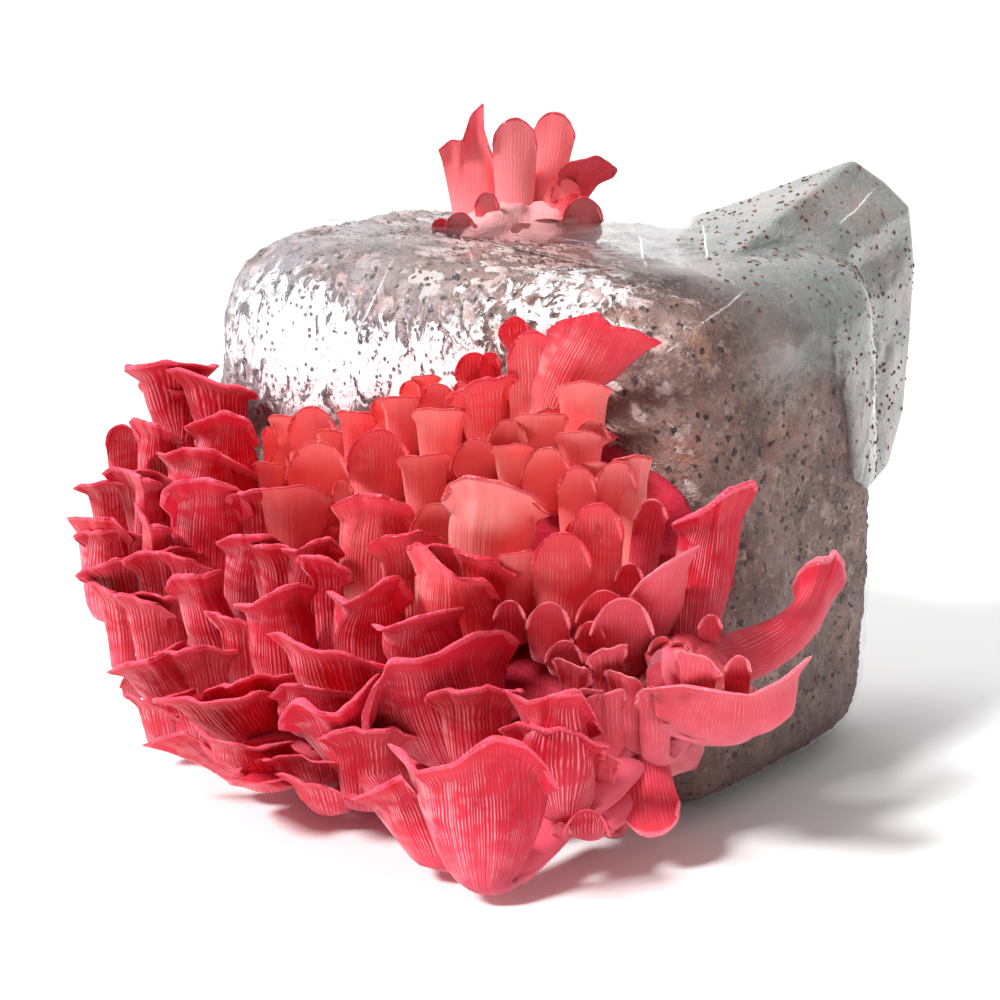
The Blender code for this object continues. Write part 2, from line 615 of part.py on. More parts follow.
def build():
    for leftover in list(bpy.data.objects):
        bpy.data.objects.remove(leftover)
    brown = material("colonised substrate", (0.30, 0.22, 0.17), 0.85)
    clear = material("clear film", (0.80, 0.82, 0.80), 0.15, 0.35)
    pale = material("pale pink flesh", (0.85, 0.45, 0.45), 0.55)
    crimson = material("pink gills", (0.80, 0.10, 0.16), 0.5)
    coral = material("coral caps", (0.88, 0.26, 0.25), 0.5)

    block = loft("substrate_block", block_rings(0.0, TOP_DROP), brown)
    core = loft("core", block_rings(0.0))
    boolean(block, core, "INTERSECT")
    discard(core)
    film = loft("grow_bag", block_rings(FILM_WALL + GAP), clear)
    mouth = loft("mouth", mouth_rings())
    boolean(film, mouth, "UNION")
    discard(mouth)
    inside = loft("inside", block_rings(GAP))
    clearance = loft("clearance", block_rings(FILM_WALL + 2.0 * GAP))

    base = lump("front_cluster_base", UPPER_LOBE_CENTRE, UPPER_LOBE_HALVES, ALONG, BEHIND, 0.06, surface=pale)
    lobe = lump("lower lobe", LOWER_LOBE_CENTRE, LOWER_LOBE_HALVES, ALONG, BEHIND, 0.06)
    boolean(base, lobe, "UNION")
    discard(lobe)
    for name, facts in YOUNG_CAPS.items():
        cap = young_cap(name, facts)
        boolean(base, cap, "UNION")
        discard(cap)
    boolean(base, clearance, "DIFFERENCE")
    neck = lump("neck", UPPER_LOBE_CENTRE, BASE_NECK, ALONG, BEHIND, 0.0, 12, 6)
    boolean(base, neck, "UNION")
    discard(neck)
    boolean(base, inside, "DIFFERENCE")

    top_centre = TOP_CLUSTER_PLACE + Vector((0.0, 0.0, 1.0))
    top = lump("top_cluster_base", top_centre, TOP_BASE_HALVES, ACROSS, BEHIND, 0.08, 14, 7, pale)
    boolean(top, clearance, "DIFFERENCE")
    neck = lump("neck", top_centre, TOP_NECK, ACROSS, BEHIND, 0.0, 12, 6)
    boolean(top, neck, "UNION")
    discard(neck)
    boolean(top, inside, "DIFFERENCE")

    for body in (base, top):
        cut_clear(film, body)
    boolean(film, inside, "DIFFERENCE")

    placed = [base, top]
    for name, facts in MUSHROOMS.items():
        flesh = coral if facts["face"] != "front" or name.startswith(("upper", "centre")) else crimson
        made = mushroom(name, facts, flesh)
        boolean(made, clearance, "DIFFERENCE")
        for other in placed:
            if boxes_meet(made, other):
                cut_clear(made, other)
        placed.append(made)
    discard(inside)
    discard(clearance)


def boxes_meet(one, other):
    for axis in range(3):
        mine = [vert.co[axis] for vert in one.data.vertices]
        others = [vert.co[axis] for vert in other.data.vertices]
        if min(mine) > max(others) + GAP * MM or min(others) > max(mine) + GAP * MM:
            return False
    return True


build()
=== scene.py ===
"""The looks of an oyster mushroom grow kit: a film bag of grown-through substrate, and its flush."""

import math
from functools import reduce

import bmesh
import bpy
import numpy as np
from mathutils import Matrix, Vector, noise
from mathutils.bvhtree import BVHTree


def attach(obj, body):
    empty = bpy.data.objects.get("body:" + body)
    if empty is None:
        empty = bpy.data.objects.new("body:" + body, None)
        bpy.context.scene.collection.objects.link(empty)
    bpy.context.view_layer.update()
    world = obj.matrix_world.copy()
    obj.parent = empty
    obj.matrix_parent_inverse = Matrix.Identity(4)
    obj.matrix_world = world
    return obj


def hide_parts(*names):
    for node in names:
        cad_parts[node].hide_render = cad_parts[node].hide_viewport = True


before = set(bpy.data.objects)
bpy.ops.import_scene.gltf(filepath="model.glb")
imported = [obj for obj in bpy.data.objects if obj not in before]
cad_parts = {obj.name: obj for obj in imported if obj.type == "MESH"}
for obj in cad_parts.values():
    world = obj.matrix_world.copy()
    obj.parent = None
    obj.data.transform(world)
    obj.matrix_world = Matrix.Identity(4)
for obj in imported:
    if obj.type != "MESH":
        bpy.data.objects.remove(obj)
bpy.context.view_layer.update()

MM = 0.001

# ------------------------------------------------------------------ sizes, in millimetres

# The block stands turned by BLOCK_TURN degrees. Its top sinks by TOP_DROP towards the far right.
BLOCK_LENGTH = 230.0
BLOCK_DEPTH = 146.0
BLOCK_HEIGHT = 191.0
BLOCK_TURN = 35.0
BLOCK_SQUARENESS = 5.5
BOTTOM_ROUND = 20.0
TOP_ROUND = 28.0
TOP_DROP = 38.0
BLOCK_SWELL = 0.035
BLOCK_WANDER = (0.010, 0.008)
BOTTOM_ROWS = 9
TOP_ROWS = 12
FILM_WALL = 0.8
GAP = 0.3
FILM_CLEARANCE = GAP + 0.4
FILM_GRID = (280, 84, 34)
SHEET_WALL = 0.35
SEAM_POINTS = 90
SHEET_ROWS = 64
SHEET_SWELL = 4.5
SHEET_CRINKLE = 1.2
SHEET_FOLD = 1.5
SHEET_LIFT = 0.6

# The caps: their walls, the widest stem as a share of its cap, and how low and how deep a root lies, as
# a share of how far the foot stands out. Young caps have shoulders and a stem given as shares of their
# half width, and are grown and raised over their readings. A rim without readings of its own is tilted.
WALL_AT_RIM = 3.0
WALL_AT_HEART = 3.4
STEM_SHARE = 0.85
LOWEST_ROOT = 16.0
ROOT_DEPTH = 0.6
READ_ROOT_DEPTH = 0.7
SHOULDER_DROP = 1.15
YOUNG_STEM = 0.66
CAP_GROWN = 1.12
CAP_RAISED = 3.0
UNEVEN_RIM = 16.0
WAVE_STEP = 0.37
GILLS_IN_A_MILLIMETRE = 2.2
FEWEST_GILLS = 12
MOST_GILLS = 60
RIM_ROWS = 7
RIM_SAMPLES = 161
RIM_SOFTNESS = 9

# Painted highlights along creases in the film: for each, how far from its line it starts and ends to fade,
# and how far from its middle, as a share of its length.
CREASE_EDGE = (0.104, 0.572)
CREASE_FADE = (0.30, 0.52)

# The front view from which places are read: the eye looks down by VIEW_TILT from VIEW_REACH away,
# one reading step is READING_STEP across at the depth of the origin, x to the right, y down.
VIEW_TILT = math.radians(16.0)
VIEW_REACH = 900.0
READING_STEP = 0.4
READING_HOME = (540.0, 714.0)
READING_AIM = (500.0, 500.0)


def triple(x, y, z):
    """A point or direction."""
    return np.array((x, y, z), float)


ACROSS = triple(1.0, 0.0, 0.0)
UPWARD = triple(0.0, math.sin(VIEW_TILT), math.cos(VIEW_TILT))
TOWARD = triple(0.0, -math.cos(VIEW_TILT), math.sin(VIEW_TILT))
TURN = math.radians(BLOCK_TURN)
ALONG = triple(-math.cos(TURN), math.sin(TURN), 0.0)
BEHIND = triple(math.sin(TURN), math.cos(TURN), 0.0)
HEIGHT = triple(0.0, 0.0, 1.0)
NEAR_CORNER = ALONG * (-BLOCK_LENGTH / 2.0) - BEHIND * (BLOCK_DEPTH / 2.0)
TOP_CLUSTER_PLACE = triple(-8.0, 40.0, BLOCK_HEIGHT)
FACES = {
    "front": (NEAR_CORNER, -BEHIND),
    "right": (NEAR_CORNER, -ALONG),
    "top": (TOP_CLUSTER_PLACE, triple(0.0, -1.0, 0.0)),
}


def sight(reading, near):
    """The point, in millimetres, seen at a reading and lying near mm in front of the origin."""
    shrink = 1.0 - near / VIEW_REACH
    across = READING_AIM[0] - READING_HOME[0] + (reading[0] - READING_AIM[0]) * shrink
    up = READING_HOME[1] - READING_AIM[1] + (READING_AIM[1] - reading[1]) * shrink
    return (ACROSS * across + UPWARD * up) * READING_STEP + TOWARD * near


def seen(points):
    """The readings, across and down, at which points are seen."""
    shrink = 1.0 - points @ TOWARD / VIEW_REACH
    across = (points @ ACROSS / READING_STEP - (READING_AIM[0] - READING_HOME[0])) / shrink + READING_AIM[0]
    down = READING_AIM[1] - (points @ UPWARD / READING_STEP - (READING_HOME[1] - READING_AIM[1])) / shrink
    return across, down


def before_face(point, face):
    """How far a point stands out in front of a face of the block."""
    place, normal = FACES[face]
    return float(np.dot(point - place, normal))


def near_of(reading, face, out):
    """The depth at which the line of sight is out mm in front of a face of the block."""
    span = 100.0
    first = before_face(sight(reading, 0.0), face)
    last = before_face(sight(reading, span), face)
    return span * (out - first) / (last - first)


def smooth(low, high, value):
    """0 at low and 1 at high, smooth between and flat beyond; low may be the larger."""
    part = np.clip((value - low) / (high - low), 0.0, 1.0)
    return part * part * (3.0 - 2.0 * part)


def unit(vectors):
    """The same directions, one long."""
    return vectors / np.maximum(np.linalg.norm(vectors, axis=-1, keepdims=True), 1e-9)


# ------------------------------------------------------------------ materials

class Signal:
    """A value inside a material, with the usual arithmetic."""

    def __init__(self, finish, socket):
        self.finish = finish
        self.socket = socket

    def maths(self, operation, *others):
        return self.finish.node(
            "ShaderNodeMath", {"operation": operation}, dict(enumerate((self, *others))))

    def __add__(self, other):
        return self.maths("ADD", other)

    __radd__ = __add__

    def __mul__(self, other):
        return self.maths("MULTIPLY", other)

    __rmul__ = __mul__

    def __sub__(self, other):
        return self.maths("SUBTRACT", other)

    def __rsub__(self, other):
        return (self * -1.0) + other

    def sine(self):
        return self.maths("SINE")

    def absolute(self):
        return self.maths("ABSOLUTE")

    def larger(self, other):
        return self.maths("MAXIMUM", other)

    def step(self, low, high):
        """0 at low and 1 at high, smooth between and flat beyond; low may be the larger."""
        return self.finish.node(
            "ShaderNodeMapRange", {"interpolation_type": "SMOOTHSTEP"},
            {"Value": self, "From Min": low, "From Max": high, "To Min": 0.0, "To Max": 1.0})


class Finish:
    """A procedural material on a Principled shader."""

    def __init__(self, name, **constants):
        self.material = bpy.data.materials.new(name)
        self.material.use_nodes = True
        self.tree = self.material.node_tree
        self.shader = self.tree.nodes["Principled BSDF"]
        for socket, value in constants.items():
            self.shader.inputs[socket.replace("_", " ")].default_value = value
        self.place = self.node("ShaderNodeTexCoord", output="Object")

    def node(self, kind, settings=None, values=None, output=None):
        """Adds a node: its settings first, then the values or links of its sockets."""
        made = self.tree.nodes.new(kind)
        for setting, value in (settings or {}).items():
            setattr(made, setting, value)
        for socket, value in (values or {}).items():
            self.feed(made.inputs[socket], value)
        if output is not None:
            return Signal(self, made.outputs[output])
        return Signal(self, next(item for item in made.outputs if item.enabled))

    def feed(self, socket, value):
        if isinstance(value, Signal):
            value = value.socket
        if isinstance(value, bpy.types.NodeSocket):
            self.tree.links.new(value, socket)
        elif isinstance(value, tuple) and len(value) == 3 and socket.type == "RGBA":
            socket.default_value = (*value, 1.0)
        else:
            socket.default_value = value

    def shade(self, socket, value):
        self.feed(self.shader.inputs[socket], value)

    def measure(self, name):
        """What the piece's points hold under that name."""
        return self.node("ShaderNodeAttribute", {"attribute_name": name}, output="Fac")

    def grain(self, scale, detail=3.0, roughness=0.55, place=None, distortion=0.0):
        return self.node(
            "ShaderNodeTexNoise", {},
            {"Vector": place or self.place, "Scale": scale, "Detail": detail, "Roughness": roughness,
             "Distortion": distortion}, output="Fac")

    def cells(self, scale, place=None, output="Distance"):
        return self.node(
            "ShaderNodeTexVoronoi", {}, {"Vector": place or self.place, "Scale": scale}, output=output)

    def stretched(self, scale, turn):
        return self.node("ShaderNodeMapping", {}, {"Vector": self.place, "Scale": scale, "Rotation": turn})

    def mix(self, amount, first, second):
        return self.node(
            "ShaderNodeMix", {"data_type": "RGBA"}, {0: amount, 6: first, 7: second}, output=2)

    def wavy(self, scale, far):
        """The place, pushed about by noise by up to far metres."""
        push = self.node("ShaderNodeTexNoise", {}, {"Vector": self.place, "Scale": scale}, output="Color")
        return self.node("ShaderNodeVectorMath", {"operation": "MULTIPLY_ADD"},
                         {0: push, 1: (far,) * 3, 2: self.place})

    def along(self, direction):
        """How far a place lies along a direction, in metres."""
        return self.node("ShaderNodeVectorMath", {"operation": "DOT_PRODUCT"},
                         {0: self.place, 1: tuple(direction)}, output="Value")

    def crease_highlight(self, first, last, wander):
        """1 in the plane of a line between two points in millimetres and the eye, fading at its ends: a
        painted highlight along creased film.
        """
        eye = sight(READING_AIM, 0.0) + TOWARD * VIEW_REACH
        square = unit(np.cross(first - eye, last - eye))
        forward = unit(last - first)
        off = self.along(square) + wander - float(square @ eye) * MM
        length = float(np.linalg.norm(last - first)) * MM
        reach = self.along(forward) - float(forward @ (first + last)) / 2.0 * MM
        ends = 1.0 - reach.absolute().step(length * CREASE_FADE[0], length * CREASE_FADE[1])
        return (1.0 - off.absolute().step(CREASE_EDGE[0] * MM, CREASE_EDGE[1] * MM)) * ends

    def relief(self, height, distance, strength):
        return self.node(
            "ShaderNodeBump", {}, {"Height": height, "Distance": distance, "Strength": strength})


def mushroom_flesh(name, deep, mid, pale, rim, foot, lined=1.0):
    """Oyster mushroom flesh: gills from foot to rim outside, smooth inside, a frosted rolled rim."""
    finish = Finish(
        name, IOR=1.38, Specular_IOR_Level=0.30, Sheen_Weight=0.16, Sheen_Roughness=0.40,
        Sheen_Tint=(1.0, 0.80, 0.88, 1.0))
    level = finish.measure("level")
    gill = finish.measure("gill")
    outside = finish.measure("outside")
    tone = finish.measure("tone")
    wander = finish.grain(95.0, 1.0) - 0.5
    fine = finish.grain(1100.0, 1.0)
    patch = finish.grain(32.0, 1.0)
    broken = finish.grain(160.0, 1.0)
    ridge = ((gill + wander * 0.7) * (2.0 * math.pi)).sine() * 0.5 + 0.5
    shown = outside * (1.0 - level.step(0.86, 0.975)) * level.step(-0.8, 0.1)
    lines = ridge.step(0.60, 1.0) * shown * (broken.step(0.36, 0.62) * 0.90 + 0.10)
    body = finish.mix((patch * 0.8 + tone * 1.1 - 0.35).step(0.0, 1.1), deep, mid)
    # Towards the foot the colour turns to the foot colour; the salmon foot is darker red, partly real and
    # partly painted shade low between the young caps.
    body = finish.mix((1.0 - level.step(-0.3, 0.55)) * 0.70, body, foot)
    colour = finish.mix(lines * lined * (0.62 + tone * 0.40), body, pale)
    # Painted shade under the rolled rim: the gilled outside turns deeper just below it.
    colour = finish.mix(level.step(0.70, 0.93) * 0.45 * outside * lined, colour, deep)
    edge = level.step(0.975, 0.995)
    colour = finish.mix(edge * (0.55 + fine * 0.5), colour, rim)
    colour = finish.mix(fine.step(0.55, 0.75) * edge * 0.6, colour, pale)
    finish.shade("Base Color", colour)
    finish.shade("Roughness", 0.50 - ridge * shown * 0.10 + fine * 0.14)
    finish.shade("Normal", finish.relief(ridge * shown * lined + fine * (edge + 0.4), 0.0004, 0.55))
    return finish.material


# Each flesh: its deep, middle and pale colours, its rim and foot, and how strongly it is lined.
FLESH = {
    "crimson": mushroom_flesh(
        "crimson gilled flesh", (0.55, 0.002, 0.018), (0.84, 0.020, 0.058), (0.93, 0.36, 0.42),
        (0.84, 0.085, 0.145), (0.80, 0.15, 0.22)),
    "coral": mushroom_flesh(
        "coral gilled flesh", (0.78, 0.030, 0.060), (0.95, 0.160, 0.175), (0.98, 0.50, 0.47),
        (0.66, 0.02, 0.05), (0.95, 0.33, 0.33), 0.7),
    # The salmon foot is darker red, partly painted shade low between the young caps.
    "salmon": mushroom_flesh(
        "salmon young flesh", (0.95, 0.150, 0.160), (0.99, 0.360, 0.335), (0.99, 0.66, 0.60),
        (0.62, 0.025, 0.045), (0.82, 0.06, 0.08), 0.22),
    "rose": mushroom_flesh(
        "dusty rose flesh", (0.58, 0.018, 0.042), (0.80, 0.100, 0.135), (0.94, 0.46, 0.50),
        (0.86, 0.20, 0.25), (0.66, 0.15, 0.20), 0.30),
    "blush": mushroom_flesh(
        "blush flesh", (0.80, 0.070, 0.100), (0.96, 0.250, 0.270), (0.99, 0.50, 0.49),
        (0.72, 0.05, 0.08), (0.95, 0.42, 0.42), 0.25),
}


def base_flesh(name, whiter=0.0):
    """The common base: deep crimson painted shade in the crevices between the caps, paler and dustier down
    at the right.
    """
    finish = Finish(name, Specular_IOR_Level=0.3)
    patch = finish.grain(45.0, 4.0)
    fine = finish.grain(700.0, 3.0)
    rosy = finish.measure("rosy")
    # The dark colours are painted shade for the crevices between the caps; the light ones are the paler,
    # dustier base at the right.
    dark = finish.mix(patch.step(0.35, 0.65), (0.30, 0.003, 0.018), (0.55, 0.020, 0.050))
    light = finish.mix(patch.step(0.35, 0.65), (0.52, 0.06, 0.085), (0.74, 0.20, 0.22))
    colour = finish.mix(rosy, dark, light)
    colour = finish.mix((patch * 0.6 + 0.45) * whiter, colour, (0.93, 0.50, 0.50))
    colour = finish.mix(finish.grain(90.0, 3.0).step(0.55, 0.72) * rosy * 0.5, colour, (0.86, 0.46, 0.44))
    finish.shade("Base Color", colour)
    finish.shade("Roughness", 0.55 + fine * 0.2)
    finish.shade("Normal", finish.relief(fine + patch, 0.0008, 0.6))
    return finish.material


# ------------------------------------------------------------------ meshes

def mesh_piece(name, points, faces, surface, measures=None, smooth_shaded=True):
    """A piece from points in millimetres, with its measures stored on the points."""
    points = np.asarray(points, float).reshape(-1, 3)
    mesh = bpy.data.meshes.new(name)
    mesh.from_pydata((points * MM).tolist(), [], faces)
    for measure, values in (measures or {}).items():
        stored = mesh.attributes.new(measure, "FLOAT", "POINT")
        stored.data.foreach_set("value", np.asarray(values, np.float32).ravel())
    mesh.polygons.foreach_set("use_smooth", [smooth_shaded] * len(mesh.polygons))
    if surface:
        mesh.materials.append(surface)
    made = bpy.data.objects.new(name, mesh)
    bpy.context.scene.collection.objects.link(made)
    return made


def joined(name, parts, surface=None):
    """One piece of several (points, faces, measures), as its own mesh."""
    points = []
    faces = []
    measures = {}
    start = 0
    for part_points, part_faces, part_measures in parts:
        points.append(part_points)
        faces += [[start + corner for corner in face] for face in part_faces]
        for measure, values in part_measures.items():
            measures.setdefault(measure, []).append(np.asarray(values, float).ravel())
        start += len(part_points)
    measures = {measure: np.concatenate(values) for measure, values in measures.items()}
    return mesh_piece(name, np.concatenate(points), faces, surface, measures)


def rows_closed(points):
    """Faces of a surface of closed rows with a flat face at each end."""
    count, around = points.shape[:2]
    index = np.arange(count * around).reshape(count, around)
    after = np.roll(index, -1, axis=1)
    faces = np.stack((index[:-1], after[:-1], after[1:], index[1:]), axis=-1).reshape(-1, 4).tolist()
    faces.append(index[0, ::-1].tolist())
    faces.append(index[-1].tolist())
    return faces


def turned_out(points, faces):
    """The faces, reversed where together they enclose a negative volume."""
    total = 0.0
    for face in faces:
        first = points[face[0]]
        for second, third in zip(face[1:-1], face[2:]):
            total += float(np.dot(first, np.cross(points[second], points[third])))
    return [face[::-1] for face in faces] if total < 0.0 else faces


# ------------------------------------------------------------------ mushrooms

def fan(left, middle, right, foot, out, heel, **more):
    """Readings of one mushroom: rim ends, middle of its front lip, foot, and how far both stand out.

    The cap's bulge is a share of its half width, and its wrap the angle that it goes round each side.
    The stem is half the foot's width. Flare bows the blade back, and sway bends it across the view.
    The inside turns hollow over its opening, a span of levels from 0 at the foot to 1 at the rim.
    The lip rolls out at the rim, the bead is the rim's roundness, and the ridges are its gills.
    """
    facts = {
        "left": left, "middle": middle, "right": right, "foot": foot, "out": out, "heel": heel,
        "face": "front", "bulge": 0.6, "wrap": 96.0, "stem": 7.0, "flare": 0.16, "taper": 0.5,
        "ruffle": 0.095, "waves": 3.0, "phase": foot[0] * WAVE_STEP, "root": None,
        "opening": (0.0, 0.55), "rounded": False, "rim": None, "lip": 4.2, "ridge": 0.26,
        "flesh": "crimson", "tone": 0.5, "wall": WALL_AT_RIM, "turning": False, "sway": (0.0, 0.0),
        "bead": 1.45,
    }
    facts.update(more)
    if facts["rim"] is None and not facts["rounded"]:
        tilt = ((foot[0] * WAVE_STEP) % 1.0 - 0.5) * UNEVEN_RIM
        facts["left"] = (left[0], left[1] + tilt)
        facts["right"] = (right[0], right[1] - tilt)
    return facts


def spoon(left, right, top, bottom, out, heel, lean=0.0, **more):
    """Readings of a young cap, a round-tipped spoon: its sides, top and foot, leaning right by lean."""
    centre = (left + right) / 2.0
    half = (right - left) / 2.0 * CAP_GROWN
    left, right, top = centre - half, centre + half, top - CAP_RAISED
    shoulder = top + half * SHOULDER_DROP
    facts = {
        "wrap": 84.0, "stem": half * READING_STEP * YOUNG_STEM, "taper": 0.42, "opening": (0.35, 0.98),
        "rounded": True, "lip": 0.2, "ridge": 0.03, "ruffle": 0.012, "flesh": "salmon", "wall": 1.5,
        "bulge": 0.75, "bead": 1.1,
    }
    facts.update(more)
    return fan(
        (left, shoulder), (centre, top), (right, shoulder), (centre - lean, bottom), out, heel, **facts)


def bent(first, control, last, part):
    """Points along a curve from first to last that is drawn towards control."""
    part = part[:, None]
    return first * (1.0 - part) ** 2 + control * (2.0 * part * (1.0 - part)) + last * part ** 2


def bent_heading(first, control, last, part):
    """Which way that curve runs."""
    part = part[:, None]
    return unit((control - first) * (1.0 - part) + (last - control) * part)


def fan_frame(facts):
    """Places in millimetres worked out from one mushroom's readings."""
    near = near_of(facts["middle"], facts["face"], facts["out"])
    half_width = (facts["right"][0] - facts["left"][0]) / 2.0 * READING_STEP * (1.0 - near / VIEW_REACH)
    sag = facts["bulge"] * half_width
    middle = sight(facts["middle"], near)
    left = sight(facts["left"], near - sag)
    right = sight(facts["right"], near - sag)
    foot = sight(facts["foot"], near_of(facts["foot"], facts["face"], facts["heel"]))
    foot[2] = max(foot[2], facts["stem"] + 1.0)
    root = foot - FACES[facts["face"]][1] * (facts["heel"] * ROOT_DEPTH)
    if facts["face"] == "top":
        root = foot + (TOP_CLUSTER_PLACE - foot) * ROOT_DEPTH
    if facts["root"]:
        root = sight(facts["root"], near_of(facts["root"], facts["face"], facts["heel"] * READ_ROOT_DEPTH))
    root[2] = max(root[2], LOWEST_ROOT)
    rise = middle - foot
    bend = foot + rise * 0.5 - TOWARD * (facts["flare"] * np.linalg.norm(rise))
    bend = bend + (ACROSS * facts["sway"][0] - UPWARD * facts["sway"][1]) * READING_STEP
    return {
        "middle": middle, "foot": foot, "root": root, "bend": bend, "elbow": foot - (bend - foot) * 0.5,
        "half": (right - left) / 2.0, "fall": (left + right) / 2.0 - middle, "sag": sag,
        "width": half_width,
    }


def fan_sheets(facts, spot, level, across):
    """Points of the gilled outside and the smooth inside, over levels (rows) and places across.

    Also which way is inward at each point, and which way the mushroom grows at each level.
    """
    up = np.clip(level, 0.0, 1.0)
    below = level < 0.0
    blade = bent(spot["foot"], spot["bend"], spot["middle"], up)
    stem = bent(spot["root"], spot["elbow"], spot["foot"], np.clip(level + 1.0, 0.0, 1.0))
    spine = np.where(below[:, None], stem, blade)
    ahead = np.where(
        below[:, None],
        bent_heading(spot["root"], spot["elbow"], spot["foot"], np.clip(level + 1.0, 0.0, 1.0)),
        bent_heading(spot["foot"], spot["bend"], spot["middle"], up))

    # how wide the cap is at each level, how far it goes round, and how thick its wall is
    width = spot["width"]
    slim = min(STEM_SHARE, facts["stem"] / width)
    spread = slim + (1.0 - slim) * up ** facts["taper"]
    wrap = np.radians(90.0 + (facts["wrap"] - 90.0) * smooth(0.0, 0.5, up))
    reach = np.sin(np.minimum(wrap, math.pi / 2.0))
    depth = 1.0 - np.cos(np.minimum(wrap, math.pi / 2.0))
    solid = 1.0 - smooth(*facts["opening"], up)
    wall = WALL_AT_HEART + (facts["wall"] - WALL_AT_HEART) * up
    wall = np.minimum(wall, 0.7 * width * spread)

    # which way is back at each level, and how the two sides stand
    half = spot["half"]
    side = unit(half)
    upright = unit(np.cross(ahead, ACROSS))
    turn = smooth(0.0, 1.0, (level + 0.1) / 0.6)[:, None]
    rear = unit(upright * (1.0 - turn) - TOWARD * turn)
    flat = ACROSS * half[0]
    if facts["turning"]:
        rear = unit(-TOWARD + ahead * (ahead @ TOWARD)[:, None])
        flat = np.cross(ahead, rear) * np.linalg.norm(half)
        flat = flat * (1.0 if flat[-1] @ half > 0.0 else -1.0)
    slope = flat + (half - flat) * up[:, None] ** 2
    droop = float(np.dot(spot["fall"], UPWARD))

    # the outside: curved across, with a drooping, ruffled rim and a lip that turns out
    angle = wrap[:, None] * across[None, :]
    back = (1.0 - np.cos(angle)) / depth[:, None] * spot["sag"] * spread[:, None]
    place = spine[:, None, :] + slope[:, None, :] * (
        spread[:, None] * np.sin(angle) / reach[:, None])[..., None] + rear[:, None, :] * back[..., None]
    drop = 1.0 - np.cos(math.pi / 2.0 * across) if facts["rounded"] else across ** 2
    place = place + UPWARD * (droop * up[:, None] ** 2 * drop[None, :])[..., None]
    inward = rear[:, None, :] * np.cos(angle)[..., None] - side * np.sin(angle)[..., None]
    wave = np.sin(facts["waves"] * math.pi * across + facts["phase"])
    small = np.sin(facts["waves"] * 2.3 * math.pi * across + facts["phase"] * 1.7 + 1.0)
    ruffle = (facts["ruffle"] * width * (wave + 0.35 * small))[None, :] * up[:, None] ** 3
    rise = np.roll(ruffle, len(across) // 9, 1) * 0.6
    place = place - inward * ruffle[..., None] + UPWARD * rise[..., None]
    lip = facts["lip"] * smooth(0.80, 1.0, up) ** 1.5
    place = place - inward * lip[:, None, None]
    if facts["rim"]:
        place = place + rim_shift(facts, place, across) * (up[:, None, None] ** 2.2)

    # the inside: a hollow where the cap is open, and the far half of a round stem where it isn't
    edge = 0.4 + 0.6 * np.sqrt(np.maximum(0.0, 1.0 - across ** 2))
    hollow = place + inward * (wall[:, None] * edge[None, :])[..., None]
    round_angle = math.pi / 2.0 * across[None, :]
    mirrored = spine[:, None, :] + slope[:, None, :] * (
        spread[:, None] * np.sin(round_angle) * 0.96)[..., None]
    mirrored = mirrored + rear[:, None, :] * (
        spot["sag"] * spread[:, None] * (1.0 + np.cos(round_angle)) + 0.3)[..., None]
    inner = hollow * (1.0 - solid[:, None, None]) + mirrored * solid[:, None, None]
    return place, inner, inward, ahead


def rim_shift(facts, place, across):
    """How far each place along the rim moves so that the rim passes through its readings."""
    readings = np.array(facts["rim"], float)
    steps = np.concatenate(([0.0], np.cumsum(np.hypot(*np.diff(readings, axis=0).T))))
    where = -1.0 + 2.0 * steps / steps[-1]
    dense = np.linspace(-1.0, 1.0, RIM_SAMPLES)
    curve = np.stack([np.interp(dense, where, readings[:, axis]) for axis in (0, 1)], axis=1)
    soft = np.ones(RIM_SOFTNESS) / RIM_SOFTNESS
    for axis in (0, 1):
        padded = np.pad(curve[:, axis], RIM_SOFTNESS // 2, mode="reflect", reflect_type="odd")
        curve[:, axis] = np.convolve(padded, soft, mode="valid")
    last = place[-1]
    shrink = 1.0 - last @ TOWARD / VIEW_REACH
    now_x, now_y = seen(last)
    want_x = np.interp(across, dense, curve[:, 0])
    want_y = np.interp(across, dense, curve[:, 1])
    scale = (READING_STEP * shrink)[:, None]
    return ACROSS * ((want_x - now_x)[:, None] * scale) - UPWARD * ((want_y - now_y)[:, None] * scale)


